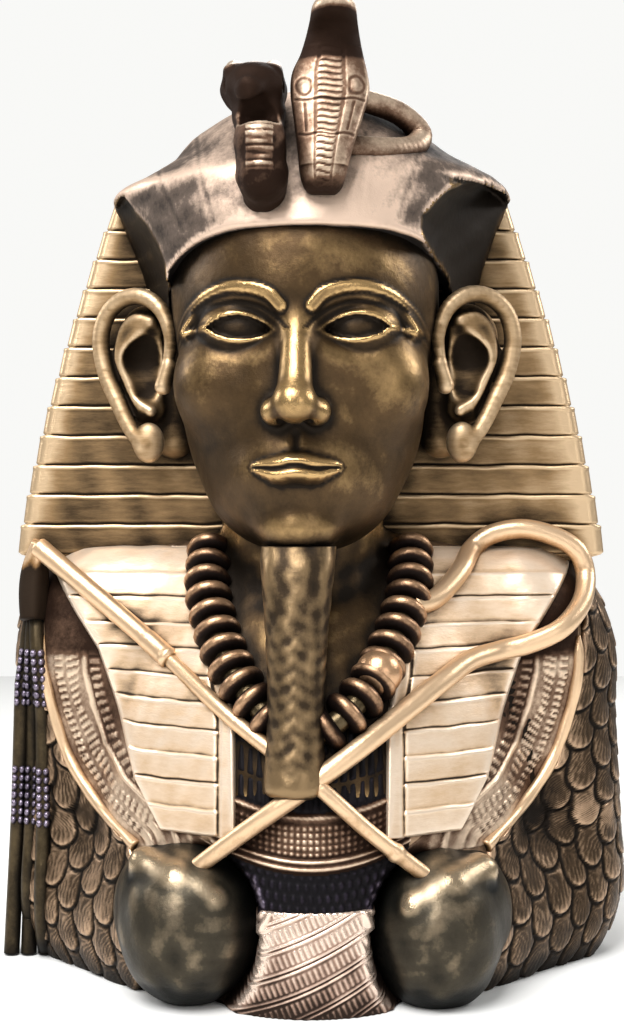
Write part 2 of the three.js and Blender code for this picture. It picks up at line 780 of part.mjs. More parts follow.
// The cobra with its spread hood, and the coil of its tail over the crown.
function cobra() {
  const rows = [
    { height: 403, halfWidth: 6, halfDepth: 6, ahead: -6, aside: 6 },
    { height: 411, halfWidth: 11.5, halfDepth: 11, ahead: 2, aside: 6 },
    { height: 425, halfWidth: 13.8, halfDepth: 10, ahead: 2, aside: 7 },
    { height: 441, halfWidth: 17.2, halfDepth: 9, ahead: -3, aside: 8.5 },
    { height: 455, halfWidth: 19.8, halfDepth: 9, ahead: -9, aside: 9.5 },
    { height: 466, halfWidth: 19, halfDepth: 9, ahead: -14, aside: 9.5 },
    { height: 476, halfWidth: 16, halfDepth: 10, ahead: -18, aside: 10.5 },
    { height: 484, halfWidth: 14, halfDepth: 11, ahead: -18, aside: 11 },
    { height: 492, halfWidth: 12, halfDepth: 16, ahead: -12, aside: 11.4 },
    { height: 499, halfWidth: 11, halfDepth: 17, ahead: -10, aside: 11.6 },
    { height: 504, halfWidth: 7, halfDepth: 11, ahead: -13, aside: 12 },
  ];
  const sides = 8;
  const rings = rows.map(({ height, halfWidth, halfDepth, ahead, aside }) =>
    Array.from({ length: sides }, (_, i) => {
      const turn = (2 * Math.PI * i) / sides;
      return onBrow(aside + halfWidth * Math.sin(turn), ahead + halfDepth * Math.cos(turn), height);
    }),
  );
  const tail = [
    onBrow(12, -29, 458),
    onBrow(28, -37, 458),
    onBrow(46, -43, 453),
    onBrow(57, -45, 443),
    onBrow(52, -37, 434),
    onBrow(36, -25, 430),
    onBrow(14, -17, 430),
  ];
  return [loft(rings), rod(through(tail), 12, 5, (share) => sq(5.6 + share))];
}

// Hems: the raised line round each sleeve and the lower edge of the broad collar.
function hems() {
  const radius = HEM_DIAMETER / 2;
  const sleeves = bothSides((side) => HEM.slice(1, -2).map(([z, x]) => [side * x, z]));
  const collar = [
    [-40, 76],
    [-20, 71],
    [0, 69],
    [20, 71],
    [40, 76],
  ];
  const round = () => radius;
  return [...sleeves.map((line) => onFront(torso, line, 0, 7, 4, round)), onFront(torso, collar, 0, 4, 4, round)];
}

function castBust() {
  const turned = [headSolid(), ...bothSides(eyeAndBrow).flat(), ...lips(), beard(), ...bothSides(ear)];
  const headWhole = fuse(turned.map((piece) => piece.rotateZ(HEAD_TURN).translate(...HEAD_PLACE.toArray())));
  const cloth = [drapeSolid(), ...bothSides(lappet), queue()];
  const regalia = [crook(), ...flail(), necklace(), ...hems(), ...vulture(), ...cobra()];
  const body = fuse([torsoSolid(), neckRod(), ...cloth, ...regalia, ...FISTS.map(fist)]);
  const ground = new THREE.BoxGeometry(sq(800), sq(800), sq(200)).translate(0, 0, -sq(100));
  return body.add(hoodSolid()).add(headWhole).subtract(solid(ground));
}

// The corners of all triangles but those round a pocket, which the metal fills: a closed shell inside
// the body, with a negative volume because its faces point inward.
function withoutPockets(corners, places) {
  const parent = Array.from({ length: places.length / 3 }, (_, i) => i);
  const shellOf = (corner) => {
    let found = corner;
    while (parent[found] !== found) found = parent[found];
    parent[corner] = found;
    return found;
  };
  for (let i = 0; i < corners.length; i += 3) {
    parent[shellOf(corners[i])] = shellOf(corners[i + 1]);
    parent[shellOf(corners[i + 1])] = shellOf(corners[i + 2]);
  }
  const volumes = new Map();
  const [a, b, c] = [new THREE.Vector3(), new THREE.Vector3(), new THREE.Vector3()];
  for (let i = 0; i < corners.length; i += 3) {
    a.fromArray(places, corners[i] * 3);
    b.fromArray(places, corners[i + 1] * 3);
    c.fromArray(places, corners[i + 2] * 3);
    const shell = shellOf(corners[i]);
    volumes.set(shell, (volumes.get(shell) ?? 0) + a.dot(b.cross(c)));
  }
  return corners.filter((corner) => volumes.get(shellOf(corner)) > 0);
}

function toGeometry(made) {
  const mesh = made.getMesh();
  const corners = withoutPockets(mesh.triVerts, mesh.vertProperties);
  return new THREE.BufferGeometry()
    .setAttribute("position", new THREE.BufferAttribute(mesh.vertProperties, 3))
    .setIndex(new THREE.BufferAttribute(corners, 1));
}

const bronze = new THREE.MeshStandardMaterial({ color: 0x8a6b45, roughness: 0.42, metalness: 0.85 });
const bust = new THREE.Mesh(toGeometry(castBust()), bronze);
bust.name = "pharaoh_bust";

const group = new THREE.Group();
group.add(bust);
export default group;
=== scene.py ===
# The looks of a cast bust of an Egyptian king: carving, worn antique bronze, studio and camera.
import math

import bpy
import numpy as np
import openvdb
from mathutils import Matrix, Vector


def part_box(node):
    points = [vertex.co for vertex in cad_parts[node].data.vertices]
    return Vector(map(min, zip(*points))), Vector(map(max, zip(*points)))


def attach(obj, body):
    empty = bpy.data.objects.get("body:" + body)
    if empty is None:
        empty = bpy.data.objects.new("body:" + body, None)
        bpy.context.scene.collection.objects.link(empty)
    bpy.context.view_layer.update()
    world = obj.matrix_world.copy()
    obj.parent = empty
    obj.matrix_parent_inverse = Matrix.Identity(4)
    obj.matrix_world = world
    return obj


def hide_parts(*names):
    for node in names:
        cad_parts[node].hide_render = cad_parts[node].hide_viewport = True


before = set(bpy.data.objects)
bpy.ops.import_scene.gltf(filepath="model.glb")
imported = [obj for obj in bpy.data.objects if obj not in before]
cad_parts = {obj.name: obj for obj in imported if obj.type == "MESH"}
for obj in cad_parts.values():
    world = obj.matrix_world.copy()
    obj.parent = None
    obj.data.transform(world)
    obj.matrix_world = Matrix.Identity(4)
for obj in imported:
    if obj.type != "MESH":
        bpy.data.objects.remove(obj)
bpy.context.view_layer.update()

# The sculptor's grid counts 504 squares in the height, and every place on the figure below is given
# in squares. A square is a millimetre at the frame's size.
cast_low, cast_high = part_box("pharaoh_bust")
SQUARE = (cast_high[2] - cast_low[2]) / 504

# Camera of the photograph: level, straight in front, 900 mm from the shoulders' plane.
VIEW_PLACE = (0.56, -900, 245.3)
VIEW_LENS = 56.5
VIEW_FILM = 36

# Widths of the grids that the round pieces are meshed on.
HEAD_PITCH = 1.3
EAR_PITCH = 1.35
HOOD_PITCH = 2.0
FIST_PITCH = 1.7
VULTURE_PITCH = 1.05

# The facial canon: three thirds from chin to hairline, and a face five eyes wide.
CHIN = 224
THIRD = 65
EYE_WIDTH = 30
NOSE_BASE = CHIN + THIRD
BROW = CHIN + 2 * THIRD
EYE_LINE = BROW - THIRD / 4
MOUTH = NOSE_BASE - THIRD / 3
HEAD_SHIFT = -2
HEAD_TURN = math.radians(-3)


def metres(squares):
    return squares * SQUARE


# Forms: functions that give the distance of points from a surface, negative inside.
def ellipsoid(centre, radii):
    centre, radii = np.float32(centre), np.float32(radii)

    def form(p):
        q = (p - centre) / radii
        reach = np.sqrt(np.einsum("ij,ij->i", q, q))
        q /= radii
        slope = np.sqrt(np.einsum("ij,ij->i", q, q))
        return reach * (reach - 1) / np.maximum(slope, 1e-6)

    return form


def bone(start, start_radius, end, end_radius):
    start = np.float32(start)
    along = np.float32(end) - start
    square = float(along @ along)

    def form(p):
        q = p - start
        share = np.clip(q @ along / square, 0, 1)
        q = q - share[:, None] * along
        reach = np.sqrt(np.einsum("ij,ij->i", q, q))
        return reach - (start_radius + (end_radius - start_radius) * share)

    return form


def chain(softness, places, radii):
    links = zip(places, places[1:], radii, radii[1:])
    return blend(softness, *(bone(a, ra, b, rb) for a, b, ra, rb in links))


def blend(softness, *forms):
    def form(p):
        nearest = forms[0](p)
        for other in forms[1:]:
            distance = other(p)
            overlap = np.maximum(softness - np.abs(nearest - distance), 0) / softness
            nearest = np.minimum(nearest, distance) - overlap * overlap * softness / 4
        return nearest

    return form


def carve(softness, body, *tools):
    def form(p):
        depth = body(p)
        for tool in tools:
            cut = -tool(p)
            overlap = np.maximum(softness - np.abs(depth - cut), 0) / softness
            depth = np.maximum(depth, cut) + overlap * overlap * softness / 4
        return depth

    return form


def both_sides(make):
    return [make(-1), make(1)]


# Surfaces of forms, as points and four-sided faces.
FAR = 260
RAY_STEPS = 48
RAY_CAUTION = 0.85
FRONT = np.float32([0, -1, 0])


def meet(form, start, direction, far=FAR):
    """Where rays that come back from far outside first meet a form."""
    reach = np.full(len(start), far, np.float32)
    for _ in range(RAY_STEPS):
        reach -= RAY_CAUTION * form(start + direction * reach[:, None])
        np.maximum(reach, 0, out=reach)
    return start + direction * reach[:, None]


def front(form, x, z):
    """Points of a form's front at places in the front view."""
    x, z = np.broadcast_arrays(np.float32(x), np.float32(z))
    start = np.stack([x.ravel(), np.full(x.size, 20, np.float32), z.ravel()], 1)
    return meet(form, start, FRONT).reshape(*x.shape, 3)


def whole_turn(count):
    return np.linspace(0, 2 * np.pi, count, endpoint=False)


def heading(turn):
    turn = np.asarray(turn, np.float32)
    return np.stack([np.sin(turn), -np.cos(turn), np.zeros_like(turn)], -1)


def skin_of(form, low, high, pitch):
    """A form's surface from distances on a grid, which are worked out finely only near the surface. The
    faces point outwards."""
    low = np.float32(low)
    pitch *= 1
    block = 4
    counts = np.ceil((np.float32(high) - low) / (block * pitch)).astype(int)
    cells = np.stack(np.meshgrid(*[np.arange(n) for n in counts], indexing="ij"), -1).reshape(-1, 3)
    middle = form(low + np.float32(cells + 0.5) * np.float32(block * pitch))
    field = middle.reshape(counts)
    for axis in range(3):
        field = field.repeat(block, axis)
    steps = np.stack(np.meshgrid(*[np.arange(block)] * 3, indexing="ij"), -1).reshape(-1, 3)
    near = cells[np.abs(middle) < 1.7 * block * pitch]
    for batch in np.array_split(near, len(near) // 8000 + 1):
        fine = (batch[:, None] * block + steps).reshape(-1, 3)
        field[fine[:, 0], fine[:, 1], fine[:, 2]] = form(low + np.float32(fine + 0.5) * np.float32(pitch))
    grid = openvdb.FloatGrid(block * pitch)
    grid.copyFromArray(field)
    points, quads = grid.convertToQuads()
    points = low + (np.float32(points) + 0.5) * np.float32(pitch)
    return settle(form, points), np.int64(quads)


def settle(form, points):
    """Draws points onto a form's surface."""
    arms = np.float32([[1, -1, -1], [-1, -1, 1], [-1, 1, -1], [1, 1, 1]])
    for _ in range(3):
        slope = sum(arm * form(points + 0.3 * arm)[:, None] for arm in arms) / 1.2
        steep = np.maximum(np.einsum("ij,ij->i", slope, slope), 0.05)
        step = np.clip(form(points) / steep, -2, 2)
        points = points - slope * step[:, None]
    return points


def net(rows, columns, ring):
    """Faces of a grid of points, row after row; a ring's last column joins its first."""
    index = np.arange(rows * columns).reshape(rows, columns)
    if ring:
        index = np.concatenate([index, index[:, :1]], 1)
    corners = [index[:-1, :-1], index[:-1, 1:], index[1:, 1:], index[1:, :-1]]
    return np.stack([corner.ravel() for corner in corners], 1)


def normals_of(points, quads):
    a, b, c, d = (points[quads[:, corner]] for corner in range(4))
    facing = np.cross(c - a, d - b)
    normals = np.zeros_like(points)
    for corner in range(4):
        np.add.at(normals, quads[:, corner], facing)
    return normals / np.maximum(np.linalg.norm(normals, axis=1, keepdims=True), 1e-9)


def hollowness(points, quads, normals, rounds):
    """How far each point lies below the surface round it, once that is smoothed."""
    count = len(points)
    starts = quads.ravel()
    ends = np.roll(quads, -1, 1).ravel()
    here, there = np.concatenate([starts, ends]), np.concatenate([ends, starts])
    degree = np.bincount(here, minlength=count)
    soft = points.astype(float)
    for _ in range(rounds):
        sums = [np.bincount(here, weights=soft[there, axis], minlength=count) for axis in range(3)]
        soft = np.stack(sums, 1) / np.maximum(degree, 1)[:, None]
    depth = np.einsum("ij,ij->i", soft - points, normals)
    return np.where(degree > 0, depth, 0)


def smooth(low, high, value):
    share = np.clip((value - low) / (high - low), 0, 1)
    return share * share * (3 - 2 * share)


def span(value, low, full, last, high):
    """1 from full to last, and 0 below low and above high."""
    return smooth(low, full, value) * smooth(high, last, value)


def dent(distance, width):
    return np.exp(-((distance / width) ** 2))


def ripple(value, pitch):
    return 0.5 + 0.5 * np.cos(2 * np.pi * value / pitch)


def beside(x, z, line):
    """The distance from a broken line in the front view, and the length along it to the nearest place."""
    nearest, along, run = np.full(x.shape, 1e9), np.zeros(x.shape), 0
    for (x0, z0), (x1, z1) in zip(line, line[1:]):
        length = math.hypot(x1 - x0, z1 - z0)
        share = np.clip(((x - x0) * (x1 - x0) + (z - z0) * (z1 - z0)) / length**2, 0, 1)
        gap = np.hypot(x - x0 - share * (x1 - x0), z - z0 - share * (z1 - z0))
        along = np.where(gap < nearest, run + share * length, along)
        nearest = np.minimum(nearest, gap)
        run += length
    return nearest, along


def wobble(points, size, seed):
    """Slow unevenness of hand work, from -1 to 1, as a sum of waves in fixed random directions."""
    random = np.random.default_rng(seed)
    total = 0
    for _ in range(7):
        way = random.normal(size=3)
        way /= np.linalg.norm(way)
        length = size * random.uniform(0.6, 1.6)
        total = total + np.sin(points @ way * (2 * np.pi / length) + random.uniform(0, 6))
    return total / 4


def placed(name, data):
    """A new object in the scene."""
    piece = bpy.data.objects.new(name, data)
    bpy.context.collection.objects.link(piece)
    return piece


def paint(mesh, wear_and_shade):
    mesh.attributes.new("wear_and_shade", "FLOAT", "POINT").data.foreach_set("value", np.float32(wear_and_shade))


def add(tree, kind, inputs=None, **settings):
    """A node with its settings, and with a value or a link for each of the inputs named."""
    node = tree.nodes.new(kind)
    for name, value in settings.items():
        setattr(node, name, value)
    for name, value in (inputs or {}).items():
        if isinstance(value, bpy.types.NodeSocket):
            tree.links.new(value, node.inputs[name])
        else:
            node.inputs[name].default_value = value
    return node


def linear(code):
    """An sRGB hex colour as linear red, green, blue and alpha."""
    channels = [int(code[i : i + 2], 16) / 255 for i in (1, 3, 5)]
    return [c / 12.92 if c <= 0.04045 else ((c + 0.055) / 1.055) ** 2.4 for c in channels] + [1]


def scaled(tree, value, factor, plus):
    """The output of a node that gives value times factor plus plus."""
    return add(tree, "ShaderNodeMath", {0: value, 1: factor, 2: plus}, operation="MULTIPLY_ADD").outputs[0]


def noise(tree, place, size, detail, roughness=0.5):
    """Noise with spots of a size in metres."""
    inputs = {"Vector": place, "Scale": 1 / size, "Detail": detail, "Roughness": roughness}
    return add(tree, "ShaderNodeTexNoise", inputs).outputs["Fac"]


# Finishes. All of them are bronze powder cast in resin, darkened with a wash that stays in the hollows
# and then rubbed back on the high places; they differ in how much of each was left.
def cast_bronze(name, hollow, body, rubbed_and_lit, roughness=0.36, metallic=0.8, spread=1.0, streak=1.0):
    material = bpy.data.materials.new(name + "_bronze")
    material.use_nodes = True
    tree = material.node_tree
    tree.nodes.clear()
    place = add(tree, "ShaderNodeTexCoord").outputs["Object"]
    # A streak below 1 draws the wash out sideways, as a brush leaves it along the bands of the cloth.
    place = add(tree, "ShaderNodeMapping", {"Vector": place, "Scale": (streak, streak, 1)}).outputs["Vector"]
    # The attribute holds wear and wash, and also the painted light and shade that the pieces were given.
    wear_and_shade = add(tree, "ShaderNodeAttribute", attribute_name="wear_and_shade").outputs["Fac"]
    # The wash also stays where forms meet, within 14 mm of each other; the same occlusion darkens them there
    # as painted shade.
    crevice_wash_and_shade = add(tree, "ShaderNodeAmbientOcclusion", {"Distance": 0.014}, samples=6).outputs["AO"]
    # Clouds of wash some 18 mm across, and specks of 2 mm where it dried unevenly.
    clouds = noise(tree, place, 0.018, 5.0, 0.62)
    specks = noise(tree, place, 0.0022, 3.0, 0.7)
    level = scaled(tree, clouds, 0.9 * spread, -0.29 - 0.625 * spread)
    level = scaled(tree, specks, 0.35 * spread, level)
    level = scaled(tree, crevice_wash_and_shade, 0.8, level)
    level = scaled(tree, wear_and_shade, 0.55, level)
    ramp = add(tree, "ShaderNodeValToRGB", {"Fac": level})
    stops = ramp.color_ramp.elements
    stops[0].position, stops[0].color = 0.12, linear(hollow)
    stops[1].position, stops[1].color = 0.92, linear(rubbed_and_lit)
    middle = stops.new(0.5)
    middle.color = linear(body)
    gloss = {"Value": level, "To Min": min(roughness + 0.28, 1), "To Max": roughness - 0.08}
    gloss = add(tree, "ShaderNodeMapRange", gloss)
    # Sand grain of the mould, 0.6 mm across, and lumps of 4 mm.
    height = scaled(tree, noise(tree, place, 0.004, 4.0, 0.65), 2.5, noise(tree, place, 0.0006, 2.0))
    bump = add(tree, "ShaderNodeBump", {"Height": height, "Strength": 0.25, "Distance": 0.0004})
    surface = add(
        tree,
        "ShaderNodeBsdfPrincipled",
        {
            "Base Color": ramp.outputs["Color"],
            "Metallic": metallic,
            "Roughness": gloss.outputs["Result"],
            "Normal": bump.outputs["Normal"],
        },
    )
    add(tree, "ShaderNodeOutputMaterial", {"Surface": surface.outputs["BSDF"]})
    return material


# Worn gold bronze: the flat cloth in front, rubbed nearly bare, so it looks pale and silky.
rubbed_gold = cast_bronze("rubbed_gold", "#33271b", "#d4b592", "#f2dcc4", 0.42, metallic=0.6, streak=0.3)
# The cloth behind catches less rubbing and keeps a brown tint.
olive_gold = cast_bronze("olive_gold", "#241a0f", "#917552", "#d6b994", 0.46, spread=0.8, streak=0.22)
# The crown kept its grey bloom.
grey_bloom = cast_bronze("grey_bloom", "#221c19", "#64564c", "#e2c6b0", 0.52, metallic=0.65)
# The face and the hood's hollows were left dark and waxed, so they shine only on their ridges.
waxed_brown = cast_bronze("waxed_brown", "#1c140b", "#544028", "#c4a06c", 0.27, spread=0.5)
# The beard has a flaky dark wash.
flaky_brown = cast_bronze("flaky_brown", "#15100a", "#3a2d1e", "#8f7655", 0.4, spread=0.75)
# Beads with a red-brown cast.
red_brown = cast_bronze("red_brown", "#1b100b", "#3e281b", "#d0a680", 0.34)
# Staff and crook, handled until bright.
bright_staff = cast_bronze("bright_staff", "#2b1f14", "#9a744b", "#e6c49e", 0.42)
# Cords of the flail and other work left dark.
slate_dark = cast_bronze("slate_dark", "#120e0a", "#2b2317", "#5d4f38", 0.36)
# Feathers: brown with dark outlines.
feather_brown = cast_bronze("feather_brown", "#1a130c", "#4e3d2c", "#b8997c", 0.36)
# Hands: green-black wash and a pale shine where they bulge.
green_black = cast_bronze("green_black", "#0f0f0c", "#413b30", "#ae9a7e", 0.32, spread=0.4)
# The pale panel between the hands.
panel_rose = cast_bronze("panel_rose", "#33261f", "#a88a79", "#f2dac8", 0.34)
# Small beads of the flail, greyish violet where they are rubbed.
lilac_bead = cast_bronze("lilac_bead", "#0f0c10", "#2b2430", "#8d8293", 0.32)
# The brow animals and the strips and nets of small work on the chest.
brow_brown = cast_bronze("brow_brown", "#28170c", "#705543", "#e4cbb0", 0.42)


# Wear: rounds of smoothing for small and for broad hollows, and the depth at which broad ones are dark.
FINE_ROUNDS = 5
BROAD_ROUNDS = 45
BROAD_DEPTH = 2.6


def sided(name, side):
    return name + ("_left" if side < 0 else "_right")


def dress(name, points, quads, material, triangles=(), stain=0, depth=0.45, reach=1.0):
    """Makes a piece of the casting from points in squares. Its attribute of wear and painted shade is 1 on
    what stands out and -1 in what lies deep, by small hollows of the given depth and by broad ones. Tops are
    painted lighter and undersides darker, as painted light and shade, and a stain, which in places is painted
    shade, shifts the whole. A coarse mesh takes less smoothing: a reach below 1."""
    points = np.float32(points)
    normals = normals_of(points, quads)
    small = hollowness(points, quads, normals, round(FINE_ROUNDS * reach))
    broad = hollowness(points, quads, normals, round(BROAD_ROUNDS * reach))
    # Tops lighter and undersides darker by their slope: painted light and shade.
    wear_and_shade = -np.clip(small / depth + broad / BROAD_DEPTH, -1.4, 1.4) + 0.35 * normals[:, 2] + stain
    mesh = bpy.data.meshes.new(name)
    mesh.from_pydata((points * SQUARE).tolist(), [], quads.tolist() + [list(face) for face in triangles])
    mesh.shade_smooth()
    paint(mesh, wear_and_shade)
    mesh.materials.append(material)
    return keep(placed(name, mesh))


def keep(piece):
    """Ties a finished piece to the casting that it belongs to."""
    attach(piece, "root")
    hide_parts("pharaoh_bust")
    return piece


def second_finish(piece, material, faces):
    """Gives some of a piece's four-sided faces another finish."""
    piece.data.materials.append(material)
    chosen = np.zeros(len(piece.data.polygons), np.int32)
    chosen[: len(faces)] = faces
    piece.data.polygons.foreach_set("material_index", chosen)


def capped(rings):
    """Points, faces and end fans of a closed body through rings of points."""
    rings = np.asarray(rings, np.float32)
    rows, columns = rings.shape[:2]
    hubs = [rings[0].mean(0), rings[-1].mean(0)]
    points = np.concatenate([rings.reshape(-1, 3), hubs])
    first, last = rows * columns, rows * columns + 1
    low = [((column + 1) % columns, column, first) for column in range(columns)]
    base = (rows - 1) * columns
    high = [(base + column, base + (column + 1) % columns, last) for column in range(columns)]
    return points, net(rows, columns, True), low + high


def facing_out(points, quads, triangles):
    """The same body with its faces turned outwards."""
    corners = np.concatenate([quads[:, :3], quads[:, [0, 2, 3]], np.array(triangles, int).reshape(-1, 3)])
    a, b, c = points[corners.T]
    if np.einsum("ij,ij->", a, np.cross(b, c)) > 0:
        return points, quads, triangles
    return points, quads[:, ::-1], [face[::-1] for face in triangles]


def dress_rings(name, rings, material, **wear_and_shade):
    points, quads, triangles = facing_out(*capped(rings))
    dress(name, points, quads, material, triangles, **wear_and_shade)


def curve_through(places, count):
    """Evenly spaced points on a smooth curve through places."""
    places = np.asarray(places, float)
    padded = np.concatenate([[2 * places[0] - places[1]], places, [2 * places[-1] - places[-2]]])
    fine = []
    for a, b, c, d in zip(padded, padded[1:], padded[2:], padded[3:]):
        t = np.linspace(0, 1, 24, endpoint=False)[:, None]
        bend, twist = 2 * a - 5 * b + 4 * c - d, 3 * b - a - 3 * c + d
        fine.append(0.5 * (2 * b + (c - a) * t + bend * t**2 + twist * t**3))
    fine = np.concatenate(fine + [places[-1:]])
    run = np.concatenate([[0], np.cumsum(np.linalg.norm(np.diff(fine, axis=0), axis=1))])
    even = np.linspace(0, run[-1], count)
    return np.stack([np.interp(even, run, fine[:, axis]) for axis in range(fine.shape[1])], 1), run[-1]


def tube(path, radius_at, sides, across=(0, 1, 0)):
    """Rings round a path. The radius may differ by the share of the length and the turn round it."""
    path = np.asarray(path, float)
    ways = np.gradient(path, axis=0)
    ways /= np.linalg.norm(ways, axis=1, keepdims=True)
    side = np.cross(ways, across)
    side /= np.linalg.norm(side, axis=1, keepdims=True)
    up = np.cross(side, ways)
    turn = whole_turn(sides)[None, :, None]
    share = np.linspace(0, 1, len(path))[:, None]
    radius = np.broadcast_to(radius_at(share, turn[..., 0]), (len(path), sides))[..., None]
    return path[:, None] + radius * (np.cos(turn) * side[:, None] + np.sin(turn) * up[:, None])


# Shoulders, folded arms and chest. The arm with the flail is held closer than the other.
FLAIL_ARM = -115
CROOK_ARM = 125
BACK = 84
breast = ellipsoid((0, 12, 20), (90, 136, 212))
flanks = both_sides(lambda side: ellipsoid((side * 42, 14, 60), (82, 104, 170)))
shoulders = bone((-111, 20, 180), 51, (113, 20, 180), 51)


def arm(x):
    side = math.copysign(1, x)
    upper = bone((x, 20, 150), 45, (x + side * 8, 14, 50), 41)
    fore = bone((x - side, 8, 22), 39, (side * 62, -70, 32), 30)
    return [upper, fore]


def behind(p):
    return BACK - p[:, 1]


torso = carve(40, blend(24, breast, *flanks, shoulders, *arm(FLAIL_ARM), *arm(CROOK_ARM)), behind)

# The fists, by the side, place and half width of each, and the hollows in the waist that they lie in.
FISTS = {"fist_left": (-1, -61, 38, 36.5), "fist_right": (1, 63, 35, 34)}
fist_hollows = [ellipsoid((x, -106, middle), (girth + 2, 32, 44)) for _, x, middle, girth in FISTS.values()]
waist = carve(5, torso, *fist_hollows)
neck = bone((-3, -10, 160), 44, (-5, -16, 262), 44)

HEM = [(152, 232), (146, 178), (145, 156), (140, 134), (130, 109), (113, 88), (90, 73)]
HEM_FOOT = [(86, 60), (84, -20)]


def across_table(table, z):
    """The x of a line in the front view at a height."""
    places = sorted((height, x) for x, height in table)
    return np.interp(z, [height for height, _ in places], [x for _, x in places])


def veneer(name, face, lift, hub, material, stain=0, foot=0, depth=0.45, reach=1.0, ways=FRONT):
    """A closed skin over the body: a grid of points with its relief, whose border sinks out of sight
    and closes on a hub. A foot keeps the last rows from sinking, down to the underside."""
    rows, columns = face.shape[:2]
    row, column = np.indices((rows, columns))
    edge = np.minimum(np.minimum(row + foot, rows - 1 - row), np.minimum(column, columns - 1 - column))
    ease = smooth(-0.5, 2.5, edge).ravel()
    points = face.reshape(-1, 3)
    quads = net(rows, columns, False)
    normals = normals_of(points, quads)
    normals *= np.sign((normals * np.reshape(ways, (-1, 3))).sum(1))[:, None]
    points = points + normals * (lift.ravel() * ease - 1.5 * (1 - ease))[:, None]
    points[:, 2] = np.maximum(points[:, 2], 0)
    index = np.arange(rows * columns).reshape(rows, columns)
    border = [*index[0, :-1], *index[:-1, -1], *index[-1, :0:-1], *index[:0:-1, 0]]
    points = np.concatenate([points, [hub]])
    triangles = [(b, a, len(points) - 1) for a, b in zip(border, border[1:] + border[:1])]
    points, quads, triangles = facing_out(points, quads, triangles)
    return dress(name, points, quads, material, triangles, stain, depth, reach)


# The upright axis that the body's skins are cast from lies this far behind the origin.
AXIS = 18


def round_body(form, turns, levels):
    """Points of a body all round its axis, at turns from the front and at heights."""
    start = np.stack([0 * turns, 0 * turns + AXIS, levels + 0 * turns], -1).reshape(-1, 3)
    return meet(form, np.float32(start), heading(turns).reshape(-1, 3))


def body_core():
    """The chest and back, which the veneers, sleeves and lappets lie on."""
    degrees = np.linspace(0, 360, 120, endpoint=False)
    heights = np.concatenate([[0, 0.8], np.linspace(3, 229, 56)])
    turns, levels = np.meshgrid(np.radians(degrees), heights)
    rings = round_body(waist, turns, levels)
    rings[:, 1] += (0.25 * wobble(rings, 14, 3)).astype(np.float32)
    rings = rings.reshape(len(heights), len(degrees), 3)
    dress_rings("chest_and_back", rings, feather_brown, reach=0.4)


def throat():
    """The bare neck and breastbone inside the necklace."""
    z, x = np.meshgrid(np.linspace(100, 246, 64), np.linspace(-62, 62, 54), indexing="ij")
    face = front(blend(10, torso, neck), x, z)
    lift = 0.4 + 0.25 * wobble(face.reshape(-1, 3), 15, 4)
    # The neck is darkened all over as painted shade under the chin and beard.
    veneer("throat", face, lift, (0, 0, 170), waxed_brown, stain=-0.5, reach=0.4)


def broad_collar():
    """The centre of the collar: a fringe of drops, a net of beads, a rim of two cords and more drops."""
    rows, columns = 150, 160
    z, x = np.meshgrid(np.linspace(46, 140, rows), np.linspace(-50, 50, columns), indexing="ij")
    face = front(waist, x, z)
    level = z - (73 + 5.8 * (x / 36) ** 2)
    cords = dent(level - 1.7, 0.9) + dent(level + 1.7, 0.9)
    rim = 1.2 * smooth(3.6, 2.6, np.abs(level)) + 1.1 * cords
    knots = np.sqrt(np.clip(ripple(x, 3.1) * ripple(level - 5, 3.1), 0, 1))
    net_of_beads = 0.8 * knots * span(level, 3.5, 4.5, 18.5, 19.5)
    rope = (1.1 + 0.3 * ripple(x + level, 2.8)) * dent(level - 22.4, 1.4)
    stroke = np.abs(np.mod(x, 4.6) - 2.3)
    fringe = 0
    for foot, top in ((25.5, 36), (38, 50), (52, 67)):
        share = np.clip((level - foot) / (top - foot), 0, 1)
        width = 0.7 + 0.8 * (1 - share)
        tier = span(level, foot - 0.4, foot + 1, top - 0.6, top + 0.4)
        fringe = fringe + 0.9 * smooth(width + 0.6, width - 0.7, stroke) * tier
    across = np.mod(x + 2.1 * (np.floor((level + 24) / 5.4) % 2), 4.2) - 2.1
    down = np.mod(level + 24, 5.4) - 2.7
    drops = 1 - (across / 1.5) ** 2 - (down / 2.3) ** 2
    drops = 0.7 * np.sqrt(np.clip(drops, 0, 1)) * smooth(-4.5, -5.5, level)
    lift = 0.3 + rim + net_of_beads + rope + fringe + drops
    stain = np.select([level > 24.5, level > 20, level > 3.5, level > -3.5], [-1.1, -0.1, -0.3, -0.3], -1.0)
    stain = np.append(stain.ravel(), 0)
    collar = veneer("broad_collar", face, lift, (0, -30, 90), brow_brown, stain, depth=1.1)
    lilac = (level > 24.5) | (level < -4)
    second_finish(collar, lilac_bead, lilac.ravel()[net(rows, columns, False)].mean(1) > 0.5)


# The left and right borders of the panel between the fists.
PANEL_BORDERS = {1: [(-21, 51), (-31, 31), (-41, 10), (-45, 0)], -1: [(27, 50), (36, 28), (48, 5), (50, 0)]}


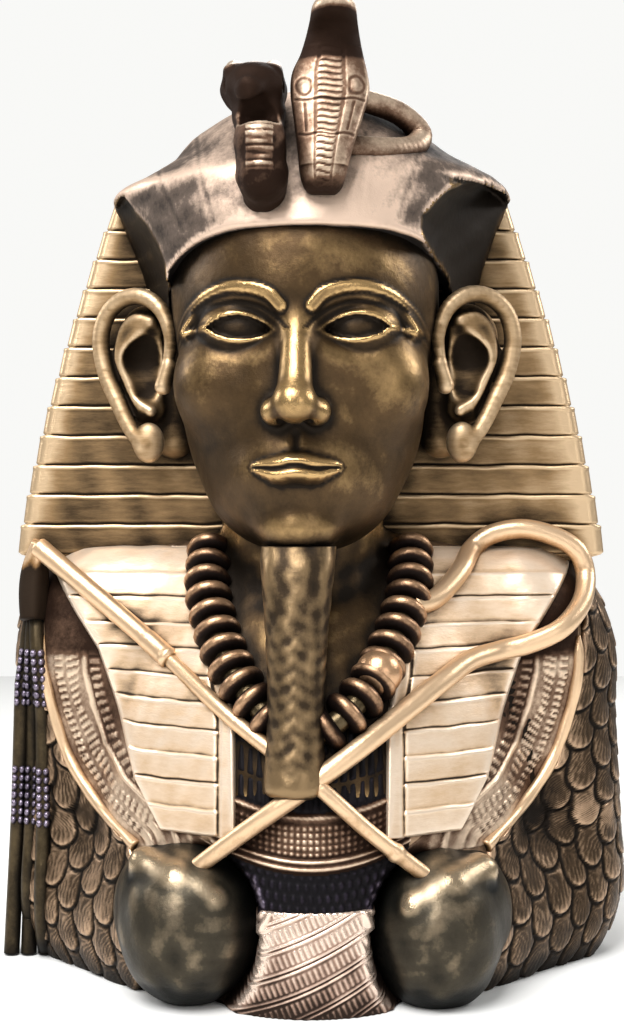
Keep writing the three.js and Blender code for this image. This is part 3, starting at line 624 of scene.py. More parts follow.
def waist_panel():
    """The pale panel between the fists: bands of feather strokes that climb to the right."""
    z, x = np.meshgrid(np.linspace(0, 52, 90), np.linspace(-54, 54, 176), indexing="ij")
    face = front(waist, x, z)
    curve_up = z - 0.34 * x - 0.0022 * (x + 30) ** 2
    place = np.mod(curve_up + 2, 12.6)
    ribs = dent(place - 1.2, 0.75) + 0.8 * dent(place - 3.4, 0.7)
    strokes = ripple(x + 0.42 * z, 3.0) * span(place, 4.6, 5.6, 11.2, 12.2)
    hollow_line = dent(place - 2.3, 0.5)
    bars, inside = 0, 1
    for way, line in PANEL_BORDERS.items():
        gap = beside(x, z, line)[0]
        bars = bars + smooth(3.2, 2.2, gap) - 0.45 * dent(gap, 0.7)
        inside = inside * smooth(-0.5, 0.5, way * (x - across_table(line, z)))
    bars = np.minimum(bars, 1)
    pattern = inside * (1 - bars) * (0.9 * ribs + 0.6 * strokes - 0.4 * hollow_line)
    lift = 0.2 + 2.0 * bars + inside * 0.8 + pattern
    pale = 0.95 * smooth(6, 44, z) - 0.35
    stain = np.append(np.where(inside > 0.5, pale, -0.5).ravel(), 0)
    veneer("waist_panel", face, lift, (0, -30, 20), panel_rose, stain, foot=4, depth=0.8)


def hem_panel(side):
    """The strip inside a sleeve's hem: rows of short strokes along it, a rib and a row of teeth."""
    rows, columns = 160, 64
    z = np.linspace(72, 224, rows)[:, None] + np.zeros((1, columns))
    outer = across_table(HEM, z)
    x = outer + 1 - np.linspace(0, 52, columns)[None]
    x = np.maximum(x, 44)
    face = front(waist, side * x, z)
    gap, along = beside(x, z, HEM)
    gap = gap / 1.25
    chance = np.sin(np.floor(along / 3.9) * 12.9898 + 4.1) * 0.5 + 0.5
    blocks = smooth(0.28, 0.42, ripple(along, 3.9)) * span(gap, 4.4, 5.2, 8.0, 8.8)
    strokes = smooth(0.3, 0.5, ripple(along + 0.3 * gap, 3.9)) * smooth(9.8, 10.8, gap)
    strokes = strokes * smooth(16.6, 15.6, gap + 2.5 * chance)
    rib = dent(gap - 18.6, 1.2)
    teeth = smooth(0.25, 0.5, ripple(along, 4.6)) * span(gap, 20.4, 21.2, 25, 26)
    worked = smooth(172, 164, z)
    unevenness = 1 + 0.3 * wobble(face.reshape(-1, 3), 9, 15).reshape(z.shape)
    lift = 0.3 + (0.8 * blocks + 0.7 * strokes + 1.2 * rib + 0.8 * teeth) * worked * unevenness
    # The plain part above the strokes is darkened as painted shade under the crook and flail.
    stain = np.append((np.where(gap > 20, 0.0, 0.45) * worked - 0.7 * (1 - worked)).ravel(), 0)
    hub = (side * 100, 0, 140)
    veneer(sided("hem_panel", side), face, lift, hub, brow_brown, stain, depth=1.5, reach=0.7)


# Feathers hang in columns, each column half a feather lower than the next, and overlap like tiles.
FEATHER_COLUMN = 16.4
FEATHER_DROP = 21
FEATHER_HALF = 9.6
FEATHER_TIP = 9
FEATHER_RELIEF = 2.2
FEATHER_LEAN = 0.2


def feathers(along, z):
    column = np.round(along / FEATHER_COLUMN)
    tiles = []
    for aside in (-1, 0, 1):
        at_column = column + aside
        shift = np.mod(at_column, 2) * FEATHER_DROP / 2
        row = np.floor((z - shift) / FEATHER_DROP)
        for up in (1, 0, -1):
            foot = (row + up) * FEATHER_DROP + shift
            rise = z - foot
            across = along - at_column * FEATHER_COLUMN + FEATHER_LEAN * (FEATHER_DROP / 2 - rise)
            below = np.maximum(FEATHER_TIP - rise, 0) * FEATHER_HALF / FEATHER_TIP
            tiles.append((foot, across, rise, np.hypot(across, below) - FEATHER_HALF))
    top = np.full(z.shape, -1e9)
    u, v, edge = np.zeros(z.shape), np.zeros(z.shape), np.zeros(z.shape)
    for foot, across, rise, outside in tiles:
        take = (outside < 0) & (foot > top)
        top = np.where(take, foot, top)
        u, v, edge = np.where(take, across, u), np.where(take, rise, v), np.where(take, -outside, edge)
    shadow = np.full(z.shape, 1e9)
    for foot, across, rise, outside in tiles:
        shadow = np.where((foot > top) & (outside > 0), np.minimum(shadow, outside), shadow)
    slope = FEATHER_RELIEF * (1 - v / (1.8 * FEATHER_DROP))
    dome = 0.7 * (1 - (u / FEATHER_HALF) ** 2)
    fan = np.arctan2(u, 27 - v) + 0.012 * np.sin(0.7 * v + 0.31 * z)
    barbs = ripple(fan, 0.15) * smooth(0.9, 2.2, edge) * smooth(0.3, 1.8, shadow)
    return (slope + dome) * smooth(-0.2, 1.3, edge) - 0.6 * dent(shadow, 0.9) + 0.34 * barbs


def sleeve(side):
    """One feathered sleeve, over the arm from the hem round to the back."""
    columns, rows = 232, 214
    heights = np.linspace(0, 226, rows)
    ruler = np.radians(np.linspace(0, 160, 400))
    contour = round_body(torso, side * ruler, 100)
    run = np.concatenate([[0], np.cumsum(np.linalg.norm(np.diff(contour, axis=0), axis=1))])
    edge = side * (across_table(HEM + HEM_FOOT, heights) + 1)
    hem = front(torso, edge, heights)
    start_turn = np.abs(np.arctan2(hem[:, 0], AXIS - hem[:, 1]))
    start_run, end_run = np.interp(start_turn, ruler, run)[:, None], np.interp(math.radians(152), ruler, run)
    along = start_run + (end_run - start_run) * np.linspace(0, 1, columns)
    turns = side * np.interp(along, run, ruler)
    levels = np.repeat(heights[:, None], columns, 1)
    face = round_body(waist, turns, levels)
    waver = 1.2 * wobble(face, 30, 7).reshape(along.shape)
    lift = 0.4 + feathers(along + waver, levels + waver) + 0.15 * wobble(face, 11, 5).reshape(along.shape)
    face = face.reshape(rows, columns, 3)
    stain = 0 if side < 0 else -0.3
    hub = (side * 112, 14, 90)
    veneer(sided("sleeve", side), face, lift, hub, feather_brown, stain, 4, 0.85, 0.65, heading(turns))


# Head, modelled square to the front and turned into place at the end.
skull = ellipsoid((0, -20, 362), (73, 83, 90))
face_mass = ellipsoid((0, -34, 306), (65, 68, 82))
jaw = ellipsoid((0, -54, 259), (47, 42, 34))
chin = ellipsoid((0, -84, CHIN + 14), (20, 18, 14))
mouth_mound = ellipsoid((0, -80, MOUTH), (30, 25, 22))
cheeks = both_sides(lambda side: ellipsoid((side * 42, -64, 312), (24, 28, 26)))
nose_bridge = bone((0, -93, BROW - 8), 6.5, (0, -114, NOSE_BASE + 12), 9)
nose_tip = ellipsoid((0, -115, NOSE_BASE + 9), (10.5, 11, 9.5))
nose_wings = both_sides(lambda side: ellipsoid((side * 10.5, -105, NOSE_BASE + 6), (7, 10, 7)))
nostrils = both_sides(lambda side: ellipsoid((side * 6, -111, NOSE_BASE - 1), (3.2, 5.5, 4)))
sockets = both_sides(lambda side: ellipsoid((side * EYE_WIDTH, -105, EYE_LINE + 1), (21, 18, 14)))
skin = blend(
    5,
    carve(8, blend(12, skull, face_mass, jaw, chin, mouth_mound, *cheeks), *sockets),
    carve(1.5, blend(5, nose_bridge, nose_tip, *nose_wings), *nostrils),
)


def around_eye(across, up):
    """The distances outside an eye's upper arc and outside its whole almond opening."""
    half, rise, fall = EYE_WIDTH / 2 + 1.2, 6.4, 5.2
    upper = (half**2 + rise**2) / (2 * rise)
    lower = (half**2 + fall**2) / (2 * fall)
    over = np.hypot(across, up - rise + upper) - upper
    under = np.hypot(across, up + fall - lower) - lower
    return over, np.maximum(over, under)


def eye_lift(x, z, y):
    """Where the surface lies over an eye: the ball inside the lids' almond opening, the lids round it."""
    for side in (-1, 1):
        across = side * x - EYE_WIDTH
        up = z - EYE_LINE - 0.05 * across
        over, outside = around_eye(across, up)
        ball = -77 - 15.5 * np.sqrt(np.clip(1 - (across / 18) ** 2 - (up / 15) ** 2, 0, 1))
        cover = -75.5 - 19.5 * np.sqrt(np.clip(1 - (across / 22) ** 2 - (up / 18) ** 2, 0, 1))
        overlap = np.clip(3 - np.abs(y - cover), 0, 3) / 3
        lids = np.minimum(y, cover) - overlap**2 * 0.75
        lids = lids - 0.9 * dent(outside - 1.5, 1.3) + 0.9 * dent(over - 7, 1.1) * (up > 0)
        near = smooth(15, 11, outside)
        lids = y + (lids - y) * near
        y = ball + (lids - ball) * smooth(-0.7, 0.5, outside)
    return y


# The brow and the line behind the eye, as places outward from the nose and up from their own level.
BROW_LINE = [(8, -6), (14, 0), (24, 3.5), (36, 4.5), (48, 1.5), (59, -6), (67, -17)]
TAIL_LINE = [(EYE_WIDTH * 1.5 + 0.5, 0.4), (54, 0.2), (61, -2), (67, -6)]


def raised(x, z, line, width, height):
    """A raised line on the face that follows a smooth curve and fades towards its end."""
    smooth_line, length = curve_through(line, 60)
    gap, along = beside(np.abs(x), z, smooth_line)
    half = width * (1 - 0.55 * (along / length) ** 1.5)
    return height * smooth(half + 0.7, half - 0.9, gap)


def lip_lift(x, z):
    """Full, closed lips, which meet in a fine groove and fade softly at their outer edge."""
    half = EYE_WIDTH * 0.8
    fade = np.clip(1 - (x / half) ** 2, 0, 1)
    parting = MOUTH + 0.9 * np.cos(2 * np.pi * x / half) * fade
    upper = 8.4 * fade**0.75 * (1 - 0.14 * dent(x, 3.6)) + 1e-3
    lower = 10.2 * fade**0.8 + 1e-3
    up, down = np.clip((z - parting) / upper, 0, 1), np.clip((parting - z) / lower, 0, 1)
    above = (3.4 + 1.4 * smooth(0, 0.45, up)) * (1 - up**2.4) ** 1.3
    below = (3.4 + 2.8 * smooth(0, 0.45, down)) * (1 - down**2.4) ** 1.3
    groove = 1.7 * dent(z - parting, 0.8) * smooth(half + 2, half - 4, np.abs(x))
    return np.where(z > parting, above, below) * fade**0.4 - groove


def carve_face(points):
    x, y, z = points.T.astype(float)
    ahead = smooth(-30, -60, y)
    moved = eye_lift(x, z, y)
    moved = moved - raised(x, z - BROW, BROW_LINE, 3.2, 2.0)
    moved = moved - raised(x, z - EYE_LINE, TAIL_LINE, 2.0, 1.5)
    nose = smooth(9, 5, np.abs(x)) * smooth(NOSE_BASE - 4, NOSE_BASE, z)
    groove = 1.0 * dent(x, 2.2) * smooth(MOUTH + 7, MOUTH + 10, z) * smooth(NOSE_BASE - 2, NOSE_BASE - 5, z)
    moved = moved - lip_lift(x, z) * (1 - nose) + groove
    points = points.copy()
    points[:, 1] = y + (moved - y) * ahead
    return points


def ear_depth(x):
    return -34 + (x - 70) * 0.42


def ear_form(side):
    """An ear with its rolled rim, inner fold and lobe, filled in behind as a caster does."""
    rim = [(73, 326), (72, 340), (77, 354), (87, 362), (99, 362), (109, 354), (113, 340), (110, 322)]
    rim += [(103, 306), (96, 292), (88, 281)]
    fold = [(84, 349), (92, 351), (100, 344), (101, 330), (97, 316), (91, 305), (84, 300)]
    trough = [(84, 356), (96, 356), (105, 347), (106, 330), (101, 313), (95, 300)]

    def places(line, forward):
        return [(side * x, ear_depth(x) - forward, z) for x, z in line]

    def roll(line, forward, count, shares, widths, softness=0.2):
        line = places(curve_through(line, count)[0], forward)
        return chain(softness, line, np.interp(np.linspace(0, 1, count), shares, widths))

    helix = roll(rim, 3.5, 44, [0, 0.3, 0.6, 1], [3.2, 4.6, 4.8, 4.2])
    antihelix = roll(fold, 1.0, 26, [0, 0.4, 1], [2.0, 3.2, 2.8])
    gutter = roll(trough, 3, 24, [0, 1], [2.7, 2.7], 0.5)
    lobe = ellipsoid((side * 85, ear_depth(85) - 1, 283), (8.5, 6, 11))
    tragus = chain(3, [(side * 73, ear_depth(73) - 4, 324), (side * 76, ear_depth(76) - 5, 313)], [4, 4.6])
    plate = chain(6, places([(88, 346), (92, 330), (87, 303)], -9), [13, 14, 10])
    root = bone((side * 74, -6, 340), 14, (side * 74, -6, 286), 11)
    block = blend(6, bone((side * 87, 0, 342), 19, (side * 84, 0, 290), 12), root)
    bowl = chain(6, places([(82, 339), (88, 328), (84, 314), (80, 307)], 4), [7, 10.5, 9, 4])
    body = carve(2, blend(4, plate, block, antihelix), bowl, gutter)
    return blend(2, body, helix, lobe, tragus)


def cut_off(axis, sign, place):
    """The half space beyond a plane, as a tool for carving."""
    return lambda p: sign * (place - p[:, axis])


def turned(points):
    """Turns the head's points about the upright axis and sets them in place."""
    cosine, sine = math.cos(HEAD_TURN), math.sin(HEAD_TURN)
    x = points[:, 0] * cosine - points[:, 1] * sine + HEAD_SHIFT
    y = points[:, 0] * sine + points[:, 1] * cosine
    return np.stack([x, y, points[:, 2]], 1)


def head():
    form = carve(1, skin, cut_off(1, 1, 14), cut_off(2, 1, 395))
    points, quads = skin_of(form, (-80, -134, 214), (80, 16, 398), HEAD_PITCH)
    points = carve_face(points)
    points = points - normals_of(points, quads) * (0.1 * wobble(points, 12, 11))[:, None]
    x, y, z = points.T
    across = np.abs(x) - EYE_WIDTH
    opening = around_eye(across, z - EYE_LINE - 0.05 * across)[1]
    # Painted light and shade: the face's front lighter, its sides darker and its +x side lighter, as the
    # light falls.
    stain = 0.2 * smooth(-60, -100, y) - 0.5 * smooth(-50, -20, y) - 0.35 + 0.2 * smooth(-10, 45, x)
    stain -= 0.75 * smooth(0.8, -0.6, opening) * (y < -60)
    dress("head", turned(points), quads, waxed_brown, stain=stain, reach=0.43)


def ear(side):
    low, high = sorted((side * 58, side * 122))
    points, quads = skin_of(ear_form(side), (low, -42, 262), (high, 24, 372), EAR_PITCH)
    dress(sided("ear", side), turned(points), quads, olive_gold, stain=-0.4, reach=0.35)


# Headcloth. The hood grips the brow and spreads to a corner over each ear.
BAND_EDGE = 388
BAND_DROP = 19
TEMPLE = 76
STRAP_DROP = 22
DRAPE_TOP = 421
DRAPE_FOLD = 222
DRAPE_BANDS = 12
DRAPE_BACK = 88
BACK_DROP = 62
STRIPE_DEPTH = 2.0

# The hood's level sections are two half ovals that meet where it is widest, over the ears: as wide as
# its outline in the front view, given as heights and half widths, and as deep in front as the crown.
HOOD_MIDDLE = 8
HOOD_FRONT = 93
HOOD_BACK = 58
HOOD_SUMMIT = 476
CROWN_LEVEL = 372
CROWN_HEIGHT = HOOD_SUMMIT - CROWN_LEVEL
HOOD_LEFT = [(330, 94), (372, 95), (390, 100), (408, 107), (417, 111), (421, 108), (426, 97)]
HOOD_LEFT += [(432, 86), (438, 78)]
HOOD_RIGHT = [(330, 94), (372, 95), (390, 100), (408, 107), (418, 111.5), (422, 111), (427, 106), (432, 95)]
HOOD_RIGHT += [(438, 83.5)]
HOOD_CROWN = [(448, 69.5), (457, 57), (465, 43), (470, 33), (474, 17), (HOOD_SUMMIT, 8)]
RIM = 4
HOLLOW = 5

# The hollow facets at the sides, from a front edge to a back line, as x, y and z.
LEFT_EDGE = [(-72, -58, 340), (-77.5, -62, 376), (-81, -60, 386), (-87, -52, 397), (-95, -45, 406)]
LEFT_EDGE += [(-102, -30, 417), (-109, -12, 421)]
LEFT_BACK = [(-84, 2, 340), (-90, 4, 369), (-106, 7, 405), (-113, 8, 421)]
RIGHT_EDGE = [(71, -58, 340), (67, -62, 369), (62.5, -64, 381), (60.6, -66, 390), (61.7, -64, 396)]
RIGHT_EDGE += [(67, -56, 402), (75, -43, 411), (83, -30, 418), (94, -15, 425), (103, -3, 430)]
RIGHT_BACK = [(86, 2, 340), (93, 4, 369), (104, 6, 400), (112, 8, 421), (112, 8, 430)]


def hood_half(side, z):
    table, _ = curve_through((HOOD_LEFT if side < 0 else HOOD_RIGHT) + HOOD_CROWN, 200)
    return np.interp(z, table[:, 0], table[:, 1])


LEVELS = np.linspace(330, 480, 301)
HALVES = {side: hood_half(side, LEVELS) for side in (-1, 1)}
LEANS = {side: np.gradient(HALVES[side], LEVELS) for side in (-1, 1)}


def of_side(x, z, table):
    """A value by height, from the table of the side that x is on."""
    return np.where(x < 0, np.interp(z, LEVELS, table[-1]), np.interp(z, LEVELS, table[1]))


def hood_mass(p):
    x, y, z = p.T
    half, lean = of_side(x, z, HALVES), of_side(x, z, LEANS)
    swell = np.sqrt(np.clip(1 - ((z - CROWN_LEVEL) / CROWN_HEIGHT) ** 2, 0.01, 1))
    depth = np.where(y < HOOD_MIDDLE, HOOD_MIDDLE + 12 + HOOD_FRONT * swell, HOOD_BACK * swell)
    u, v = x / half, (y - HOOD_MIDDLE) / depth
    reach = np.hypot(u, v)
    wall = reach * (reach - 1) / np.maximum(np.hypot(u / half, v / depth), 1e-6)
    return np.maximum(wall / np.hypot(1, lean * u), z - HOOD_SUMMIT)


def band_edge(x):
    share = np.abs(x) / TEMPLE
    return BAND_EDGE - BAND_DROP * np.minimum(share**4.5, 1) - STRAP_DROP * smooth(0.97, 1.03, share)


def under_band(p):
    return np.maximum(p[:, 2] - band_edge(p[:, 0]), p[:, 1] - 8)


def facet(side, edge, back):
    """The tool that hollows one side of the hood, level by level, but for a rim under its top."""
    edge, back = np.asarray(edge).T, np.asarray(back).T

    def form(p):
        x, y, z = p.T
        edge_x, edge_y = (np.interp(z, edge[2], edge[axis]) for axis in (0, 1))
        back_x, back_y = (np.interp(z, back[2], back[axis]) for axis in (0, 1))
        way_x, way_y = back_x - edge_x, back_y - edge_y
        length = np.hypot(way_x, way_y)
        share = ((x - edge_x) * way_x + (y - edge_y) * way_y) / length**2
        outside = side * ((x - edge_x) * way_y - (y - edge_y) * way_x) / length
        share = np.clip(share, -0.5, 1.2)
        return np.maximum(-outside - HOLLOW * 4 * share * (1 - share), hood_mass(p + np.float32([0, 0, RIM])))

    return form


FACETS = [facet(-1, LEFT_EDGE, LEFT_BACK), facet(1, RIGHT_EDGE, RIGHT_BACK)]
FOLDS = [
    [(-34, 462), (-32, 430), (-27, 394)],
    [(-62, 449), (-57, 421), (-49, 392)],
    [(-84, 434), (-76, 412), (-66, 390)],
    [(28, 440), (27, 420), (25, 394)],
    [(60, 446), (54, 425), (44, 394)],
]


def hood_relief(p):
    x, z = p[:, 0], p[:, 2]
    roll = 0.25 * dent(z - band_edge(x) - 1.8, 1.4)
    gaps = [beside(x, z, fold)[0] for fold in FOLDS]
    folds = sum(0.12 * dent(gap - 2, 1.6) - 0.08 * dent(gap, 1.2) for gap in gaps)
    return (roll + folds) * smooth(5, -15, p[:, 1])


def hood():
    form = carve(2.0, hood_mass, under_band, *FACETS)
    form = carve(1, form, cut_off(1, 1, 70), cut_off(2, -1, 336))
    points, quads = skin_of(form, (-122, -118, 326), (122, 76, 482), HOOD_PITCH)
    facing = np.minimum(*(np.abs(tool(points)) for tool in FACETS))
    hollowed = smooth(1.6, 0.4, facing) * smooth(20, 8, points[:, 1])
    lift = hood_relief(points) * (1 - hollowed) + 0.25 * wobble(points, 18, 21)
    points = points + normals_of(points, quads) * lift[:, None]
    x, y, z = points.T
    # A painted highlight on the crown's front, above the band in the middle.
    rubbed_and_lit = 1.1 * dent(x - 4, 40) * span(z, 384, 392, 402, 440) * smooth(-60, -80, y)
    # The crown is darker towards its sides, most on the +x side.
    darker_sides = -0.3 * smooth(42, 80, -x) - 0.7 * smooth(30, 70, x)
    stain = rubbed_and_lit + darker_sides - 0.3 * hollowed
    piece = dress("hood", points, quads, grey_bloom, stain=stain, reach=0.4)
    second_finish(piece, waxed_brown, hollowed[quads].mean(1) > 0.5)


def drape_half_width(z):
    rise = (np.minimum(z, DRAPE_TOP) - 230) / 190
    return 163.5 - 32 * rise - 20.5 * rise * rise


def stripe(place, groove=0.06):
    """The profile of one band of cloth, from its top at 0 to its lower edge at 1: proud at the top,
    where it catches the light, and sinking to a groove under its lower edge."""
    body = 1 - 0.5 * place + 0.18 * dent(place - 0.09, 0.05)
    return body * span(place, 0, groove, 1 - 0.6 * groove, 1)


CORNER = 3


def drape():
    """The cloth behind the ears: a flat face on each side and a rounded back, in bands."""
    pitch = (DRAPE_TOP - DRAPE_FOLD) / DRAPE_BANDS
    levels = [(z, 1.0) for z in np.linspace(DRAPE_FOLD, DRAPE_TOP, 205)]
    crown = np.linspace(DRAPE_TOP + 1, HOOD_SUMMIT - 3, 24)
    levels += [(z, (hood_half(-1, z) - 5) / drape_half_width(z)) for z in crown]
    face = np.linspace(-1, 1, 110)
    turns = np.linspace(0, np.pi, 58)[1:-1]
    rings = [(DRAPE_FOLD - 6, -12, 0.85, 0), (DRAPE_FOLD - 3, -4, 0.96, 0), (DRAPE_FOLD - 0.5, 0, 0.995, 0)]
    for z, share in levels:
        place = np.mod((DRAPE_TOP - z) / pitch, 1)
        rings.append((z, STRIPE_DEPTH * stripe(place), share, max(0, z - DRAPE_TOP)))
    made = []
    for z, stand, share, rise in rings:
        half = (drape_half_width(z) - STRIPE_DEPTH + stand) * share
        face_depth = min(8 - (420 - z) / 190 * 12 + 1.1 * rise, 18) + STRIPE_DEPTH - stand
        arch = math.sqrt(1 - (rise / (HOOD_SUMMIT + 2 - DRAPE_TOP)) ** 2)
        back_depth = (DRAPE_BACK - STRIPE_DEPTH + stand) * arch * (share if z < DRAPE_FOLD else 1)
        low = max(0, (DRAPE_TOP - z) / (DRAPE_TOP - DRAPE_FOLD))
        x = face * half
        near = np.clip(np.abs(x) - half + CORNER, 0, CORNER)
        y = face_depth + CORNER - np.sqrt(CORNER**2 - near**2)
        front_row = np.stack([x, y, 0 * x + z], 1)
        start = face_depth + CORNER + 1
        back_y = start + np.sin(turns) * (back_depth - start)
        back_z = z - BACK_DROP * low * np.sin(turns) ** 2
        made.append(np.concatenate([front_row, np.stack([np.cos(turns) * half, back_y, back_z], 1)]))
    made = np.float32(made)
    flat = made.reshape(-1, 3)
    made[..., 2] += 0.35 * wobble(flat, 30, 31).reshape(made.shape[:2])
    made[..., 1] += 0.25 * wobble(flat, 26, 32).reshape(made.shape[:2])
    points, quads, triangles = facing_out(*capped(made))
    stain = -0.3 * smooth(-40, -110, points[:, 0])
    dress("drape", points, quads, olive_gold, triangles, stain, reach=0.5)


def queue():
    """The gathered tail of the headcloth down the back."""
    turns = whole_turn(40)
    rings = []
    for z in np.linspace(172, 72, 90):
        half = 17 + (z - 72) * 0.1
        twist = 0.7 * ripple(z, 7)
        y = 80 + np.sin(turns) * (8 + twist)
        rings.append(np.stack([np.cos(turns) * (half + twist), np.minimum(y, 87.6), 0 * turns + z], 1))
    dress_rings("queue", rings, olive_gold)


# The lappets, which hang from behind the ears over the chest.
LAPPET_TOP = 226
LAPPET_END = 84
LAPPET_BANDS = 11
LAPPET_THICKNESS = 5
LAPPET_OUTSIDE = [(152, 226), (136, 203), (115, 172), (102.5, 137), (92.5, 108), (77, 84)]
LAPPET_INSIDE = [(50, 226), (42, 160), (38, 140), (37, 84)]
SELVEDGE = 9


def lappet(side):
    rows, columns = 150, 74
    heights = np.linspace(LAPPET_TOP, LAPPET_END, rows)
    place = np.mod((LAPPET_TOP - heights) / (LAPPET_TOP - LAPPET_END) * LAPPET_BANDS, 1)
    inner = across_table(LAPPET_INSIDE, heights)[:, None]
    outer = across_table(LAPPET_OUTSIDE, heights)[:, None]
    share = np.linspace(0, 1, columns)[None]
    x = inner + (outer - inner) * share
    z = np.repeat(heights[:, None], columns, 1)
    face = front(torso, side * x, z)
    plain = smooth(SELVEDGE + 0.8, SELVEDGE - 0.8, x - inner) * smooth(190, 180, z)
    edge = dent(x - inner - SELVEDGE, 0.9) * smooth(190, 180, z)
    bands = STRIPE_DEPTH * stripe(place)[:, None] * (1 - plain) + 1.6 * plain - 1.2 * edge
    rim = np.minimum(share * columns, (1 - share) * columns)
    bands = bands + 0.25 * wobble(face.reshape(-1, 3), 13, 41).reshape(x.shape)
    lift = LAPPET_THICKNESS - STRIPE_DEPTH + bands
    face[..., 1] -= lift * smooth(-0.5, 2, rim)
    face[..., 2] += 0.35 * wobble(face.reshape(-1, 3), 22, 42).reshape(x.shape)
    ease = np.linspace(0, 1, 6)[1:]
    right = face[:, -1:] + ease[None, :, None] * np.float32([0, 1, 0]) * 16
    left = face[:, :1] + ease[None, ::-1, None] * np.float32([0, 1, 0]) * 16
    rings = np.concatenate([face, right, left], 1)
    top = rings[:1] + np.float32([0, 3, 0.5])
    foot = rings[-1:] + np.float32([0, 2.5, -0.6])
    rings = np.concatenate([top, rings, foot])
    dress_rings(sided("lappet", side), rings, rubbed_gold, stain=0.2, reach=0.65)


def on_chest(places, lift, furthest=-10):
    """Points that lie over the lappets at places in the front view."""
    x, z = np.transpose(places)
    points = front(torso, x, z)
    points[:, 1] = np.minimum(points[:, 1] - LAPPET_THICKNESS * 0.6 - lift, furthest)
    return points


# Regalia.
CROOK_RADIUS = 5.5
ROD_RADIUS = 4.5
CROOK_LINE = [(-66, 62), (-30, 91), (-5, 109), (20, 126), (45, 143), (67, 158), (83, 167), (100, 171)]
CROOK_LINE += [(117, 175), (135, 183), (148, 196), (152, 211), (147, 224), (134, 232), (117, 236), (100, 233)]
CROOK_LINE += [(89, 225), (82, 215), (74, 206), (65, 199), (54, 196)]


def crook():
    line = on_chest(CROOK_LINE, CROOK_RADIUS * 0.8)
    path, _ = curve_through(line, 260)

    def radius(share, turn):
        return CROOK_RADIUS * np.minimum(1, 0.75 + share * 0.8) + 0.12 * np.sin(turn * 3 + share * 40)

    dress_rings("crook", tube(path, radius, 22), bright_staff, stain=-0.35, reach=0.6)


def flail_rod():
    line = on_chest([(64, 60), (30, 88), (3, 112), (-40, 142), (-84, 176)], ROD_RADIUS)
    tip = on_chest([(-150, 226)], ROD_RADIUS, -15)
    path, _ = curve_through(np.concatenate([line, tip]), 240)

    def radius(share, turn):
        body = np.interp(share, [0, 0.645, 0.65, 0.712, 0.718, 1], [4.0, 4.0, 5.6, 5.6, 5.2, 5.6])
        return body + 0.5 * dent(share - 0.655, 0.004) + 1.0 * dent(share - 0.1, 0.008)

    dress_rings("flail_rod", tube(path, radius, 22), bright_staff, stain=-0.35, reach=0.6)
    bend = tip[0] + (1.5, 0.5, 2.5)
    strap = curve_through([bend, *on_chest([(-153, 211), (-153, 186)], 4)], 60)[0]
    cords = tube(strap, lambda share, turn: 5.5 + 2.6 * np.sin(2.6 * share) + 0.3 * np.cos(5 * turn), 40)
    points, quads, triangles = facing_out(*capped(cords))
    stain = -2.6 * smooth(222, 208, points[:, 2]) - 0.35
    dress("flail_strap", points, quads, bright_staff, triangles, stain)


def necklace_line():
    places = [(-55, 224), (-54, 200), (-42, 168), (-24, 145), (-4, 132)]
    places += [(18, 145), (37, 168), (51, 200), (54, 224)]
    x, z = np.transpose(places)
    points = front(blend(10, torso, neck), x, z)
    # Behind the beard it lies deeper, so that no bead shows through.
    points[:, 1] -= 6.2 - 8 * dent(x + 8, 16)
    return points


